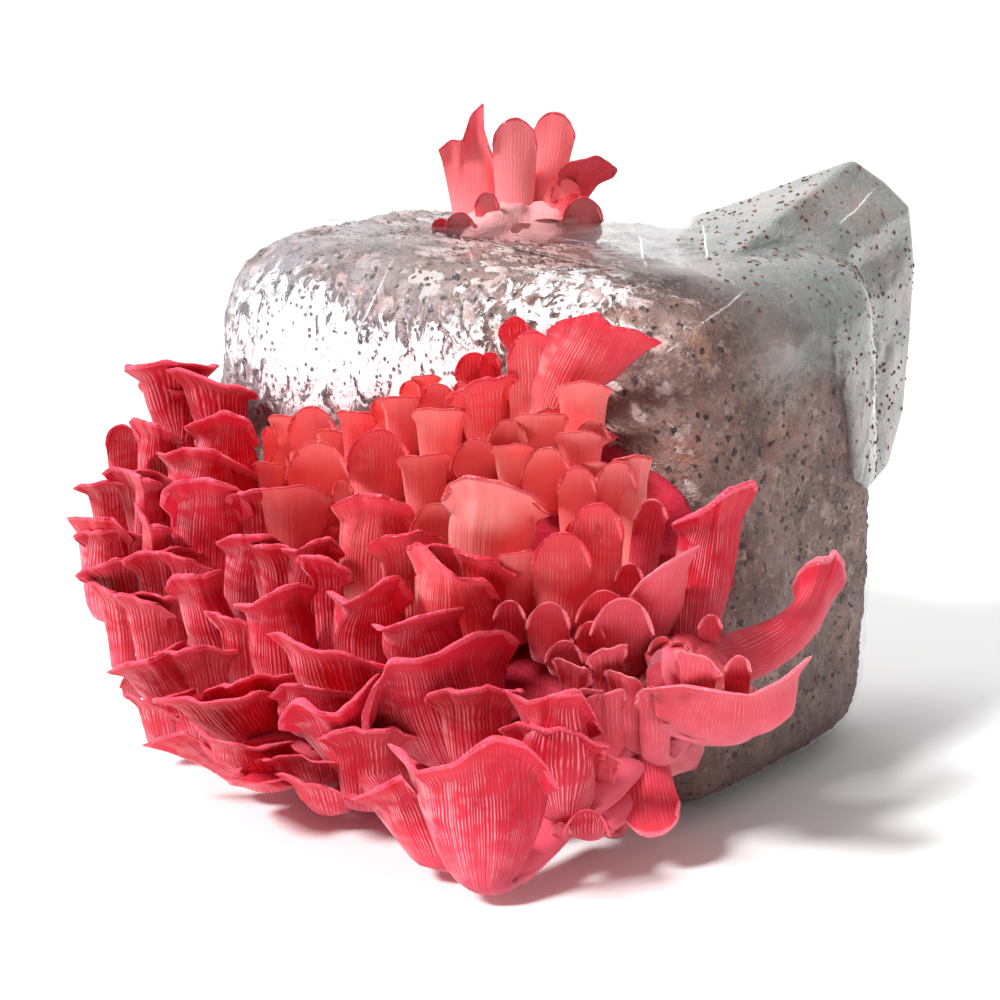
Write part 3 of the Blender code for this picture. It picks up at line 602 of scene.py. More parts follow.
def fan_mesh(facts, rows=20, stem_rows=4):
    """Points, faces and measures of one mushroom."""
    spot = fan_frame(facts)
    gills = int(np.clip(round(spot["width"] * GILLS_IN_A_MILLIMETRE), FEWEST_GILLS, MOST_GILLS))
    columns = 4 * ((gills * 2 + 3) // 4)
    coarse = columns // 4
    random = np.random.default_rng(int(facts["foot"][0] * 7 + facts["foot"][1]))
    steps = random.uniform(0.55, 1.45, columns)
    across = np.concatenate(([0.0], np.cumsum(steps))) / steps.sum() * 2.0 - 1.0
    level = np.concatenate((
        np.linspace(-1.0, 0.0, stem_rows + 1)[:-1], 1.0 - (1.0 - np.linspace(0.0, 1.0, rows)) ** 1.35))
    outer, inner, inward, ahead = fan_sheets(facts, spot, level, across)
    count = len(level)

    # the gills stand out at every second column, and half of them only near the rim
    ridge = np.where(np.arange(columns + 1) % 2 == 0, 1.0, -1.0) * random.uniform(0.4, 1.3, columns + 1)
    short = np.where(np.arange(columns + 1) % 4 == 0, 1.0, smooth(0.30, 0.62, level)[:, None])
    strength = facts["ridge"] * smooth(1.0, 0.85, level) * smooth(-0.7, -0.1, level)
    narrow = np.clip(spot["width"] * 0.045, 0.35, 1.0)
    outer = outer - inward * (ridge[None, :] * short * (strength * narrow)[:, None])[..., None]

    # the rim is rolled over from the outside to the inside
    turn = np.linspace(-0.5, math.pi + 0.5, RIM_ROWS + 2)[1:-1]
    centre = (outer[-1] + inner[-1]) / 2.0
    uneven = 1.0 + 0.10 * np.sin(across * 9.0 + facts["phase"]) + 0.06 * np.sin(across * 23.0)
    across_rim = outer[-1] - inner[-1]
    radius = np.linalg.norm(across_rim, axis=1, keepdims=True) / 2.0 * facts["bead"] * uneven[:, None]
    outwards = unit(across_rim)
    rolled = [centre + outwards * radius * math.cos(bend) + ahead[-1] * radius * math.sin(bend)
              for bend in turn]
    under = inner[-2]

    # the points are the outside, the ribbons of the rim, and every fourth column of the inside
    points = [outer.reshape(-1, 3)] + rolled + [inner[-1], under]
    full = columns + 1
    outer_at = np.arange(count * full).reshape(count, full)
    start = count * full
    ribbons = [outer_at[-1]]
    for _ in range(RIM_ROWS + 2):
        ribbons.append(np.arange(start, start + full))
        start += full
    inner_picked = inner[:-2, ::4]
    points.append(inner_picked.reshape(-1, 3))
    inner_at = np.arange(start, start + inner_picked.shape[0] * (coarse + 1)).reshape(-1, coarse + 1)

    faces = []

    def quads(low, high):
        for index in range(len(low) - 1):
            faces.append([low[index], low[index + 1], high[index + 1], high[index]])

    for row in range(count - 1):
        quads(outer_at[row], outer_at[row + 1])
    for low, high in zip(ribbons, ribbons[1:]):
        quads(low, high)
    bottom = ribbons[-1]
    top = inner_at[-1]
    for index in range(coarse):
        faces.append([*bottom[4 * index:4 * index + 5], top[index + 1], top[index]])
    for row in range(inner_at.shape[0] - 1, 0, -1):
        quads(inner_at[row], inner_at[row - 1])
    # both sides are closed from outside to inside, and so is the foot
    for end in (0, -1):
        inner_column = [*inner_at[:, end], ribbons[-1][end], ribbons[-2][end]]
        outer_column = list(outer_at[:, end])
        for row in range(count - 1):
            corners = [outer_column[row], outer_column[row + 1], inner_column[row + 1], inner_column[row]]
            faces.append(corners if end == 0 else corners[::-1])
        cap = [ribbon[end] for ribbon in ribbons[:-1]]
        faces.append(cap if end == 0 else cap[::-1])
    base = list(outer_at[0])
    heel = list(inner_at[0])
    faces.append([*heel[::-1], *base])
    points = np.concatenate(points)
    faces = [[int(corner) for corner in face] for face in faces]
    faces = turned_out(points, faces)

    outer_level = np.repeat(level, full)
    inner_level = np.repeat(level[:-2], coarse + 1)
    gill_phase = np.arange(full) / 2.0
    measures = {
        "level": np.concatenate((
            outer_level, np.ones(full * RIM_ROWS), np.ones(full), np.full(full, level[-2]), inner_level)),
        "gill": np.concatenate((
            np.tile(gill_phase, count + RIM_ROWS + 2), np.tile(gill_phase[::4], inner_picked.shape[0]))),
        "outside": np.concatenate((
            np.ones(len(outer_level) + full * RIM_ROWS), np.zeros(full * 2 + len(inner_level)))),
        "tone": np.full(len(points), facts["tone"]),
    }
    return points, faces, measures


MUSHROOMS = {
    "front_mushroom_01": fan(
        (396, 752), (484, 744), (560, 792), (484, 886), 96, 84, stem=9, taper=0.62, tone=0.62,
        rim=((388, 745), (398, 750), (412, 774), (455, 766), (475, 750), (495, 739), (525, 746), (545, 765),
             (560, 790))),
    "front_mushroom_02": fan(
        (352, 800), (402, 780), (446, 800), (440, 880), 92, 78,
        rim=((352, 800), (375, 792), (402, 778), (415, 793), (446, 806))),
    "front_mushroom_03": fan(
        (280, 728), (330, 716), (380, 678), (385, 796), 88, 64, stem=10, tone=0.55,
        rim=((280, 730), (279, 722), (290, 705), (298, 702), (316, 714), (338, 716), (358, 700),
             (380, 674))),
    "front_mushroom_04": fan(
        (364, 735), (410, 664), (520, 642), (450, 765), 82, 60, stem=14, tone=0.4,
        rim=((365, 735), (362, 720), (372, 690), (382, 680), (388, 663), (420, 662), (440, 655), (475, 635),
             (505, 631), (520, 642))),
    "front_mushroom_05": fan(
        (504, 692), (545, 698), (604, 734), (562, 815), 74, 58, stem=9, wrap=165, tone=0.35,
        rim=((503, 690), (528, 704), (552, 697), (582, 694), (604, 734))),
    "front_mushroom_06": fan(
        (213, 772), (255, 784), (293, 778), (268, 815), 90, 72, stem=12,
        rim=((213, 772), (230, 781), (262, 785), (293, 778))),
    "front_mushroom_07": fan(
        (190, 722), (238, 746), (295, 742), (262, 790), 86, 66, stem=13,
        rim=((191, 722), (205, 738), (230, 744), (260, 750), (295, 742))),
    "front_mushroom_08": fan(
        (143, 746), (184, 734), (222, 762), (256, 818), 85, 66, stem=10, phase=0.6,
        rim=((143, 746), (165, 738), (185, 733), (203, 742), (222, 764))),
    "front_mushroom_09": fan((174, 698), (215, 700), (270, 688), (255, 750), 80, 58, stem=13, wrap=150),
    "front_mushroom_10": fan(
        (107, 672), (158, 657), (186, 642), (190, 738), 70, 52, stem=9,
        rim=((107, 673), (125, 666), (150, 662), (167, 653), (183, 642))),
    "front_mushroom_11": fan(
        (269, 697), (305, 687), (362, 694), (322, 740), 78, 56, stem=13,
        rim=((269, 697), (282, 685), (305, 687), (330, 692), (362, 694))),
    "front_mushroom_12": fan((286, 640), (330, 652), (380, 672), (345, 715), 76, 54, stem=13, wrap=140),
    "front_mushroom_13": fan(
        (372, 626), (415, 619), (466, 608), (430, 680), 72, 50, stem=14,
        rim=((372, 625), (380, 631), (415, 619), (440, 613), (465, 608))),
    "front_mushroom_14": fan(
        (234, 605), (275, 594), (318, 588), (285, 690), 72, 50, stem=10,
        rim=((234, 605), (250, 607), (280, 590), (302, 584), (316, 588))),
    "front_mushroom_15": fan(
        (326, 592), (362, 596), (412, 582), (370, 665), 66, 46, stem=12,
        rim=((327, 592), (345, 605), (365, 595), (385, 581), (400, 577), (414, 600))),
    "front_mushroom_16": fan(
        (165, 590), (190, 577), (226, 570), (225, 680), 68, 46, stem=9,
        rim=((165, 590), (172, 578), (205, 577), (223, 570))),
    "front_mushroom_17": fan(
        (216, 543), (250, 537), (287, 547), (252, 615), 62, 42, stem=10,
        rim=((216, 543), (230, 537), (272, 537), (287, 547))),
    "front_mushroom_18": fan(
        (280, 549), (312, 543), (346, 555), (312, 610), 58, 40, stem=10,
        rim=((281, 549), (296, 552), (312, 543), (332, 539), (345, 555))),
    "front_mushroom_19": fan(
        (331, 507), (372, 496), (420, 523), (378, 605), 56, 36, stem=12, flesh="coral", tone=0.4,
        rim=((331, 507), (345, 501), (360, 495), (385, 499), (410, 508), (418, 523))),
    "front_mushroom_20": fan((290, 785), (320, 786), (350, 790), (330, 822), 80, 66),
    "left_mushroom_01": fan((136, 368), (166, 366), (205, 378), (178, 440), 30, 16, wrap=150, tone=0.3),
    "left_mushroom_02": fan((184, 376), (212, 382), (250, 392), (220, 440), 24, 14, wrap=140, tone=0.3),
    "left_mushroom_03": fan(
        (183, 428), (220, 415), (260, 448), (228, 495), 34, 20, tone=0.9, stem=8,
        rim=((184, 428), (208, 419), (224, 413), (250, 422), (260, 445))),
    "left_mushroom_04": fan(
        (156, 456), (208, 450), (265, 480), (212, 530), 44, 26, tone=0.8, stem=12,
        rim=((157, 453), (165, 456), (182, 449), (215, 452), (240, 466), (265, 480))),
    "left_mushroom_05": fan(
        (129, 422), (155, 426), (182, 440), (158, 500), 40, 24,
        rim=((129, 423), (133, 419), (160, 428), (182, 440))),
    "left_mushroom_06": spoon(105, 137, 428, 490, 34, 22, flesh="crimson", tone=0.2),
    "left_mushroom_07": fan(
        (126, 470), (145, 478), (163, 485), (148, 560), 50, 32, stem=6,
        rim=((127, 470), (142, 480), (163, 485))),
    "left_mushroom_08": fan(
        (133, 506), (150, 524), (174, 530), (160, 610), 56, 38,
        rim=((135, 503), (138, 512), (150, 528), (172, 530))),
    "left_mushroom_09": fan((88, 486), (106, 484), (128, 490), (110, 535), 42, 30),
    "left_mushroom_10": fan(
        (66, 518), (98, 518), (134, 540), (110, 615), 54, 34, stem=9,
        rim=((67, 518), (85, 519), (115, 521), (134, 540))),
    "left_mushroom_11": fan(
        (160, 502), (205, 480), (254, 518), (206, 590), 56, 34, stem=11, tone=0.75,
        rim=((160, 505), (162, 493), (175, 483), (205, 480), (240, 490), (254, 515))),
    "left_mushroom_12": fan((88, 572), (112, 563), (137, 574), (124, 640), 54, 36),
    "left_mushroom_13": fan((124, 606), (142, 600), (164, 610), (152, 665), 60, 42),
    "centre_mushroom_01": fan(
        (439, 506), (490, 482), (552, 520), (490, 592), 58, 32, stem=5, taper=0.36, flesh="salmon",
        tone=0.6, ridge=0.12, bead=1.2, bulge=0.8,
        rim=((441, 500), (447, 485), (465, 477), (500, 483), (530, 495), (551, 515))),
    "centre_mushroom_02": fan(
        (404, 548), (450, 574), (500, 600), (462, 645), 60, 38, stem=12, flesh="coral",
        rim=((406, 548), (418, 543), (440, 565), (460, 581), (490, 583), (500, 600))),
    "centre_mushroom_03": spoon(535, 590, 536, 620, 46, 28, flesh="coral", tone=0.6),
    "centre_mushroom_04": spoon(573, 622, 507, 618, 40, 20, flesh="coral", tone=0.6),
    "centre_mushroom_05": spoon(595, 652, 602, 670, 46, 28, flesh="rose", tone=0.8),
    "centre_mushroom_06": spoon(637, 667, 503, 585, 22, 10, flesh="rose", tone=0.2, lean=10),
    "centre_mushroom_07": spoon(566, 608, 813, 840, 60, 50, flesh="crimson", tone=0.2),
    "upper_mushroom_01": fan(
        (546, 340), (606, 318), (662, 343), (553, 415), 26, 14, stem=7, taper=0.65, flesh="coral",
        tone=0.3, bead=1.1, lip=2.0,
        rim=((547, 330), (560, 321), (595, 314), (613, 328), (635, 331), (662, 343))),
    "upper_mushroom_02": spoon(510, 555, 335, 430, 26, 14, flesh="coral", ridge=0.2, tone=0.7),
    "upper_mushroom_03": fan(
        (459, 395), (485, 382), (510, 392), (486, 442), 28, 14, wrap=90, flesh="coral"),
    "upper_mushroom_04": spoon(348, 409, 433, 505, 36, 20, flesh="coral", ridge=0.2, tone=0.7),
    "right_mushroom_01": fan(
        (626, 596), (664, 568), (701, 546), (648, 640), 46, 26, stem=11, wrap=110, flesh="rose", tone=1.0,
        ridge=0.04, taper=0.5, bulge=0.8, rim=((628, 598), (640, 583), (658, 570), (680, 556), (700, 545))),
    "right_mushroom_02": fan(
        (671, 530), (720, 500), (757, 488), (695, 640), 18, 8, face="right", tone=0.15, stem=7, taper=0.8,
        ridge=0.3, bead=1.7, rim=((672, 525), (700, 515), (730, 492), (752, 483), (757, 490))),
    "right_mushroom_03": fan(
        (788, 576), (818, 563), (848, 582), (704, 668), 26, 16, face="right", root=(690, 676), flesh="rose",
        stem=12, taper=0.8, tone=0.15, ridge=0.0, turning=True, sway=(44, 28), bulge=0.6,
        rim=((793, 586), (800, 572), (808, 565), (818, 562), (830, 561), (836, 554), (843, 564),
             (846, 580))),
    "right_mushroom_04": fan(
        (642, 690), (735, 692), (812, 656), (724, 742), 34, 22, face="right", flesh="rose",
        stem=11, taper=0.30, tone=0.45, ridge=0.03, wall=2.0, bulge=0.45,
        rim=((642, 690), (680, 686), (716, 692), (752, 696), (785, 680), (812, 656))),
    "right_mushroom_05": fan(
        (606, 786), (650, 834), (666, 790), (636, 716), 32, 16, flesh="rose", tone=0.35, turning=True,
        rounded=True, stem=10, taper=0.7, lip=0.2, ridge=0.06, ruffle=0.02, opening=(0.35, 0.98), wall=1.5),
    "top_mushroom_01": fan(
        (438, 150), (472, 112), (500, 160), (478, 232), 4, 0, face="top", wrap=85, flesh="blush", tone=0.6,
        stem=8, ridge=0.04, wall=1.4, lip=0.4, bead=1.1,
        rim=((438, 150), (450, 140), (462, 142), (470, 116), (484, 103), (484, 128), (490, 148),
             (499, 168))),
    "top_mushroom_02": spoon(495, 535, 122, 232, 12, 4, face="top", flesh="blush", tone=0.9, stem=6),
    "top_mushroom_03": spoon(
        535, 573, 116, 230, 2, 0, face="top", flesh="blush", tone=0.9, stem=5.5, lean=14),
    "top_mushroom_04": fan(
        (565, 181), (586, 160), (603, 183), (556, 226), 10, 4, face="top", wrap=95, phase=0.6,
        flesh="blush", tone=0.0, stem=5, wall=1.6, ridge=0.1, bead=1.2),
}

# Curls low down at the right: smooth, thin and twisted.
SOFT = {
    "ridge": 0.03, "lip": 1.6, "ruffle": 0.14, "waves": 2.2, "wall": 1.6, "bead": 1.2, "wrap": 110.0,
    "opening": (0.2, 0.8), "flesh": "rose",
}

# Young caps that have begun to open at the top, every second one.
TRUMPET = {
    "rounded": False, "lip": 1.3, "ruffle": 0.07, "waves": 2.0, "taper": 0.75, "opening": (0.3, 0.9),
    "bead": 1.2, "wrap": 100.0,
}

# Young caps, still small, fused to the common base.
YOUNG_CAPS = (
    spoon(262, 276, 430, 470, 26, 14), spoon(272, 298, 419, 470, 24, 12), spoon(288, 334, 410, 492, 26, 12),
    spoon(320, 346, 434, 492, 22, 10), spoon(288, 346, 445, 522, 36, 20), spoon(342, 371, 415, 472, 26, 12),
    spoon(371, 391, 401, 445, 22, 10), spoon(385, 421, 400, 466, 28, 12), spoon(400, 420, 384, 420, 20, 8),
    spoon(416, 436, 379, 410, 18, 8), spoon(419, 456, 387, 425, 24, 12), spoon(418, 461, 412, 476, 30, 14),
    spoon(333, 352, 484, 510, 40, 26), spoon(262, 324, 490, 552, 44, 28, ridge=0.16),
    spoon(268, 288, 457, 495, 26, 12), spoon(257, 281, 466, 500, 34, 20), spoon(454, 469, 385, 430, 20, 8),
    spoon(403, 446, 458, 516, 36, 18),
    spoon(452, 502, 442, 484, 32, 16), spoon(497, 528, 448, 490, 36, 18), spoon(490, 526, 423, 460, 30, 14),
    spoon(520, 564, 417, 462, 28, 14), spoon(524, 571, 451, 510, 36, 18), spoon(562, 606, 386, 445, 22, 10),
    spoon(576, 609, 424, 446, 24, 10), spoon(562, 601, 435, 482, 28, 14), spoon(560, 596, 470, 545, 34, 18),
    spoon(588, 611, 466, 496, 30, 16), spoon(598, 636, 465, 528, 28, 12), spoon(619, 647, 460, 572, 22, 10),
    spoon(412, 461, 507, 576, 46, 26), spoon(505, 542, 555, 612, 48, 30, lean=10),
    spoon(566, 600, 520, 590, 38, 22),
)

# Small caps, spurs and curls that fill the flush, by flesh.
FILLERS = {
    "crimson": (
        fan((218, 628), (240, 622), (264, 630), (246, 690), 62, 44),
        spoon(120, 141, 678, 700, 62, 48, tone=0.1),
        fan((136, 706), (152, 704), (171, 712), (160, 745), 74, 58),
        fan((100, 596), (112, 592), (129, 600), (122, 670), 52, 36),
        fan((168, 562), (184, 559), (201, 566), (190, 620), 52, 36),
        spoon(146, 172, 457, 490, 40, 26, tone=0.1),
        fan((132, 602), (155, 596), (179, 604), (166, 660), 56, 40),
        fan((312, 575), (326, 560), (344, 572), (330, 650), 60, 42),
        fan((440, 700), (475, 690), (512, 700), (480, 790), 70, 56, stem=14, tone=0.2),
        fan((330, 740), (365, 730), (400, 742), (372, 820), 80, 64, stem=12, tone=0.2),
        fan((130, 560), (160, 552), (190, 565), (170, 640), 50, 34, stem=9, tone=0.2),
        fan((215, 690), (250, 680), (285, 690), (262, 760), 66, 50, stem=12, tone=0.2),
        fan((160, 660), (195, 650), (230, 662), (210, 740), 62, 46, stem=11, tone=0.2),
        fan((88, 540), (112, 532), (140, 546), (126, 620), 46, 30, stem=8, tone=0.2),
        fan((250, 560), (290, 552), (330, 566), (300, 650), 54, 38, stem=12, tone=0.2),
        fan((240, 500), (262, 492), (286, 506), (264, 570), 44, 26, stem=9, tone=0.3),
        fan((520, 740), (556, 730), (600, 752), (566, 830), 62, 48, stem=10, tone=0.1),
        fan((116, 484), (148, 474), (182, 486), (160, 570), 40, 22, stem=10, tone=0.2),
        fan((150, 400), (180, 394), (212, 404), (192, 460), 18, 6, stem=10, tone=0.2),
        fan((268, 768), (308, 758), (350, 772), (320, 826), 76, 60, stem=14, tone=0.1),
    ),
    "coral": (
        fan((378, 545), (402, 536), (428, 552), (408, 620), 54, 36, stem=8, tone=0.3),
        fan((436, 560), (470, 556), (505, 570), (476, 650), 52, 36, stem=10, tone=0.2),
        spoon(500, 530, 320, 350, 22, 10, tone=0.1), spoon(480, 500, 356, 400, 20, 8, tone=0.2),
        spoon(456, 492, 356, 392, 20, 8, tone=0.3),
    ),
    "rose": (
        spoon(495, 524, 604, 644, 52, 38, tone=0.2), spoon(529, 569, 606, 664, 48, 32, tone=0.9),
        spoon(547, 582, 644, 678, 50, 36, tone=0.8), spoon(578, 604, 625, 668, 44, 28, tone=0.6),
        spoon(580, 629, 594, 640, 42, 26, tone=0.6), spoon(617, 643, 567, 604, 30, 16, tone=0.3),
        spoon(727, 751, 659, 712, 36, 24, face="right", tone=1.0),
        spoon(650, 674, 640, 680, 34, 20, tone=1.0), spoon(669, 688, 645, 680, 32, 18, tone=0.8),
        spoon(700, 722, 618, 652, 24, 12, face="right", tone=0.6),
        fan((596, 760), (606, 752), (618, 762), (606, 836), 46, 32, stem=4, tone=0.7, **SOFT),
        fan((572, 766), (586, 756), (602, 766), (588, 822), 48, 36, stem=5, tone=0.0, **SOFT),
        fan((590, 706), (606, 692), (626, 704), (610, 770), 44, 28, stem=6, tone=0.8, **SOFT),
        fan((612, 690), (628, 676), (646, 694), (630, 750), 40, 24, stem=6, tone=0.9, **SOFT),
        fan((640, 700), (656, 688), (674, 704), (656, 760), 38, 22, stem=7, tone=0.9, **SOFT),
        fan((560, 676), (574, 664), (592, 676), (576, 728), 50, 34, stem=6, tone=0.6, **SOFT),
        fan((592, 660), (608, 648), (626, 664), (608, 706), 46, 30, stem=6, tone=1.0, **SOFT),
        fan((684, 668), (700, 656), (720, 668), (700, 716), 30, 16, face="right", stem=7, tone=1.0, **SOFT),
        fan((572, 700), (584, 690), (600, 704), (586, 750), 50, 34, stem=6, tone=0.4, **SOFT),
        spoon(552, 570, 826, 842, 60, 50, tone=0.9),
    ),
}

# Small caps round the foot of the group on top.
TOP_CAPS = (
    spoon(565, 602, 201, 232, 14, 6, face="top", tone=0.8, flesh="blush"),
    spoon(552, 580, 182, 228, 8, 2, face="top", tone=1.0, flesh="blush"),
    spoon(432, 449, 222, 244, 14, 8, face="top", tone=0.0, flesh="blush"),
    spoon(446, 474, 216, 247, 16, 8, face="top", tone=1.0, flesh="blush"),
    spoon(476, 498, 196, 236, 14, 6, face="top", tone=0.8, flesh="blush"),
)

pieces = []
for name, facts in MUSHROOMS.items():
    points, faces, measures = fan_mesh(facts)
    piece = mesh_piece(name + "_gilled", points, faces, FLESH[facts["flesh"]], measures)
    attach(piece, "root")
    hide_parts(name)
    pieces.append(piece)


# ------------------------------------------------------------------ common bases and small caps

# The front base is two wide lobes, one above the other, and small ones at the right.
UPPER_LOBE_CENTRE = NEAR_CORNER + ALONG * 88.0 + HEIGHT * 96.0 + BEHIND * 4.0
UPPER_LOBE_HALVES = (90.0, 15.0, 54.0)
LOWER_LOBE_CENTRE = NEAR_CORNER + ALONG * 112.0 + HEIGHT * 36.0 - BEHIND * 8.0
LOWER_LOBE_HALVES = (108.0, 42.0, 33.0)
TOP_BASE_HALVES = (27.0, 17.0, 13.0)
TOP_BASE_SUNK = 4.0
LOWEST_BASE = 3.0
KNOBS_IN_A_MILLIMETRE = 0.11
KNOB_HEIGHT = 3.0
TONE_STEP = 0.618
TILT_STEP = 0.41
SMALL_CAP_ROWS = 14
SMALL_STEM_ROWS = 2
# Lobes of the base low down at the right: where each is seen, its face, how far out, and its half sizes.
RIGHT_LOBES = (
    ((684, 676), "right", 8.0, (15.0, 12.0, 14.0)), ((655, 690), "front", 12.0, (14.0, 13.0, 18.0)),
    ((618, 700), "front", 16.0, (14.0, 14.0, 20.0)), ((700, 706), "right", 7.0, (14.0, 10.0, 12.0)),
    ((640, 650), "front", 12.0, (13.0, 12.0, 12.0)), ((600, 660), "front", 22.0, (13.0, 13.0, 14.0)),
    ((590, 760), "front", 26.0, (14.0, 14.0, 20.0)), ((725, 690), "right", 7.0, (10.0, 9.0, 9.0)),
)


def lump(centre, halves, along, behind, uneven, around=96, rows=48):
    """Points, faces and measures of a soft lump: an ellipsoid with low swellings and small knobs."""
    tilt = np.linspace(-math.pi / 2.0, math.pi / 2.0, rows + 1)[1:-1, None]
    angle = (2.0 * math.pi * np.arange(around) / around)[None, :]
    swell = 1.0 + uneven * np.sin(3.0 * angle + 2.0 * tilt) * np.cos(tilt)
    swell = swell + uneven * 0.7 * np.sin(5.0 * angle - 3.0 * tilt) * np.cos(tilt)
    ring = centre + (halves[0] * np.cos(angle) * np.cos(tilt) * swell)[..., None] * along
    ring = ring + (halves[1] * np.sin(angle) * np.cos(tilt) * swell)[..., None] * behind
    ring[..., 2] = centre[2] + halves[2] * np.sin(tilt)
    points = ring.reshape(-1, 3)
    push = np.array([
        noise.turbulence(Vector(point) * KNOBS_IN_A_MILLIMETRE, 3, False) - 0.4 for point in points])
    points = points + unit(points - centre) * push[:, None] * min(KNOB_HEIGHT, halves[1] * 0.3)
    points[:, 2] = np.maximum(points[:, 2], LOWEST_BASE)
    return points, turned_out(points, rows_closed(ring)), {
        "rosy": smooth(-10.0, 50.0, points @ ACROSS) * smooth(115.0, 40.0, points[:, 2])}


def open_up(facts, number):
    """Turns a young cap into a small trumpet, with rim ends that stand higher than its shoulders did."""
    facts.update(TRUMPET)
    top = facts["middle"][1]
    for side, low in (("left", 0.28), ("right", 0.50 - 0.4 * ((number * TILT_STEP) % 1.0))):
        facts[side] = (facts[side][0], top + (facts[side][1] - top) * low)


def massed_caps(name, members, flesh):
    """Many small caps as one piece."""
    return joined(
        name, [fan_mesh(facts, SMALL_CAP_ROWS, SMALL_STEM_ROWS) for facts in members], FLESH[flesh])


base = joined("cluster_base_knobbly", [
    lump(UPPER_LOBE_CENTRE, UPPER_LOBE_HALVES, ALONG, BEHIND, 0.06),
    lump(LOWER_LOBE_CENTRE, LOWER_LOBE_HALVES, ALONG, BEHIND, 0.06),
    *(lump(sight(reading, near_of(reading, face, out)), halves, ALONG, BEHIND, 0.10, 56, 28)
      for reading, face, out, halves in RIGHT_LOBES),
], base_flesh("common base"))
for number, facts in enumerate(YOUNG_CAPS):
    facts["tone"] = 0.25 + 0.7 * ((number * TONE_STEP) % 1.0)
    if number % 2:
        open_up(facts, number)
massed = {"salmon": YOUNG_CAPS, **FILLERS}
for flesh, members in massed.items():
    pieces.append(massed_caps(flesh + "_massed_caps", members, flesh))
pieces.append(base)
for piece in pieces[len(MUSHROOMS):]:
    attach(piece, "root")
    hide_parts("front_cluster_base")
top_base = joined("top_base_knobbly", [
    lump(TOP_CLUSTER_PLACE - HEIGHT * TOP_BASE_SUNK, TOP_BASE_HALVES, ACROSS, BEHIND, 0.08, 64, 32),
], base_flesh("top base", 1.0))
top_caps = massed_caps("top_massed_caps", TOP_CAPS, "blush")
for piece in (top_base, top_caps):
    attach(piece, "root")
    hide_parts("top_cluster_base")


# ------------------------------------------------------------------ substrate and bag

def block_surface(grow, drop, around, walls, over):
    """Rows of points of the block from the edge of its flat bottom up its walls and in over its top.

    The surface is grown by grow all round, and its top sinks by drop towards the far right. There are
    around points in a row, walls rows up the straight walls and over rows across the top.
    """
    low = np.linspace(0.0, math.pi / 2.0, BOTTOM_ROWS)
    high = np.linspace(0.12, math.pi / 2.0, TOP_ROWS)
    middle = np.linspace(BOTTOM_ROUND, BLOCK_HEIGHT - TOP_ROUND, walls + 2)[1:-1]
    deepest = BLOCK_DEPTH / 2.0 - 2.0
    inset = np.concatenate((
        BOTTOM_ROUND * (1.0 - np.sin(low)), np.zeros(walls), TOP_ROUND * (1.0 - np.cos(high)),
        np.linspace(TOP_ROUND, deepest, over + 1)[1:]))
    height = np.concatenate((
        BOTTOM_ROUND * (1.0 - np.cos(low)), middle, BLOCK_HEIGHT - TOP_ROUND * (1.0 - np.sin(high)),
        np.full(over, BLOCK_HEIGHT)))
    inset = inset[:, None]
    level = height[:, None] / BLOCK_HEIGHT
    angle = (2.0 * math.pi * np.arange(around) / around)[None, :]
    cosine = np.cos(angle)
    sine = np.sin(angle)
    square = BLOCK_SQUARENESS
    reach = (np.abs(cosine) ** square + np.abs(sine) ** square) ** (-1.0 / square)
    softer = np.where(inset < TOP_ROUND + 2.0, 1.0, 0.4)
    swell = 1.0 + BLOCK_SWELL * np.sin(math.pi * np.minimum(1.0, level * 1.15)) * softer
    slow, fast = BLOCK_WANDER
    wander = 1.0 + slow * np.sin(3.0 * angle + 7.0 * level) + fast * np.sin(5.0 * angle - 9.0 * level)
    along = (BLOCK_LENGTH / 2.0 + grow - inset) * cosine * reach * swell * wander
    behind = (BLOCK_DEPTH / 2.0 + grow - inset) * sine * reach * swell * wander
    end = np.maximum(0.0, (1.0 - along / (BLOCK_LENGTH / 2.0)) / 2.0)
    back = np.maximum(0.0, (1.0 + behind / (BLOCK_DEPTH / 2.0)) / 2.0)
    bottom = FILM_WALL + GAP - grow
    top = BLOCK_HEIGHT - drop * end ** 2 * back + grow
    points = along[..., None] * ALONG + behind[..., None] * BEHIND
    points[..., 2] = bottom + (top - bottom) * level
    return points


def facing(points):
    """Directions square to a closed row-by-row surface, pointing away from its middle."""
    sideways = np.roll(points, -1, axis=1) - np.roll(points, 1, axis=1)
    upwards = np.gradient(points, axis=0)
    normals = unit(np.cross(sideways, upwards))
    middle = points.mean(axis=(0, 1))
    if float(np.sum(normals * (points - middle))) < 0.0:
        normals = -normals
    return normals


def noise_field(points, scale, octaves, seed=0.0, ridged=False):
    """Noise from about -1 to 1 at many points; scale counts features in a millimetre."""
    offset = Vector((seed * 17.0, seed * 5.0, seed * 29.0))
    values = []
    for point in points.reshape(-1, 3) * scale:
        place = Vector(point) + offset
        if ridged:
            values.append(noise.ridged_multi_fractal(place, 1.0, 2.1, octaves, 0.9, 2.0) - 1.0)
        else:
            values.append(noise.fractal(place, 1.0, 2.0, octaves))
    return np.array(values).reshape(points.shape[:-1])


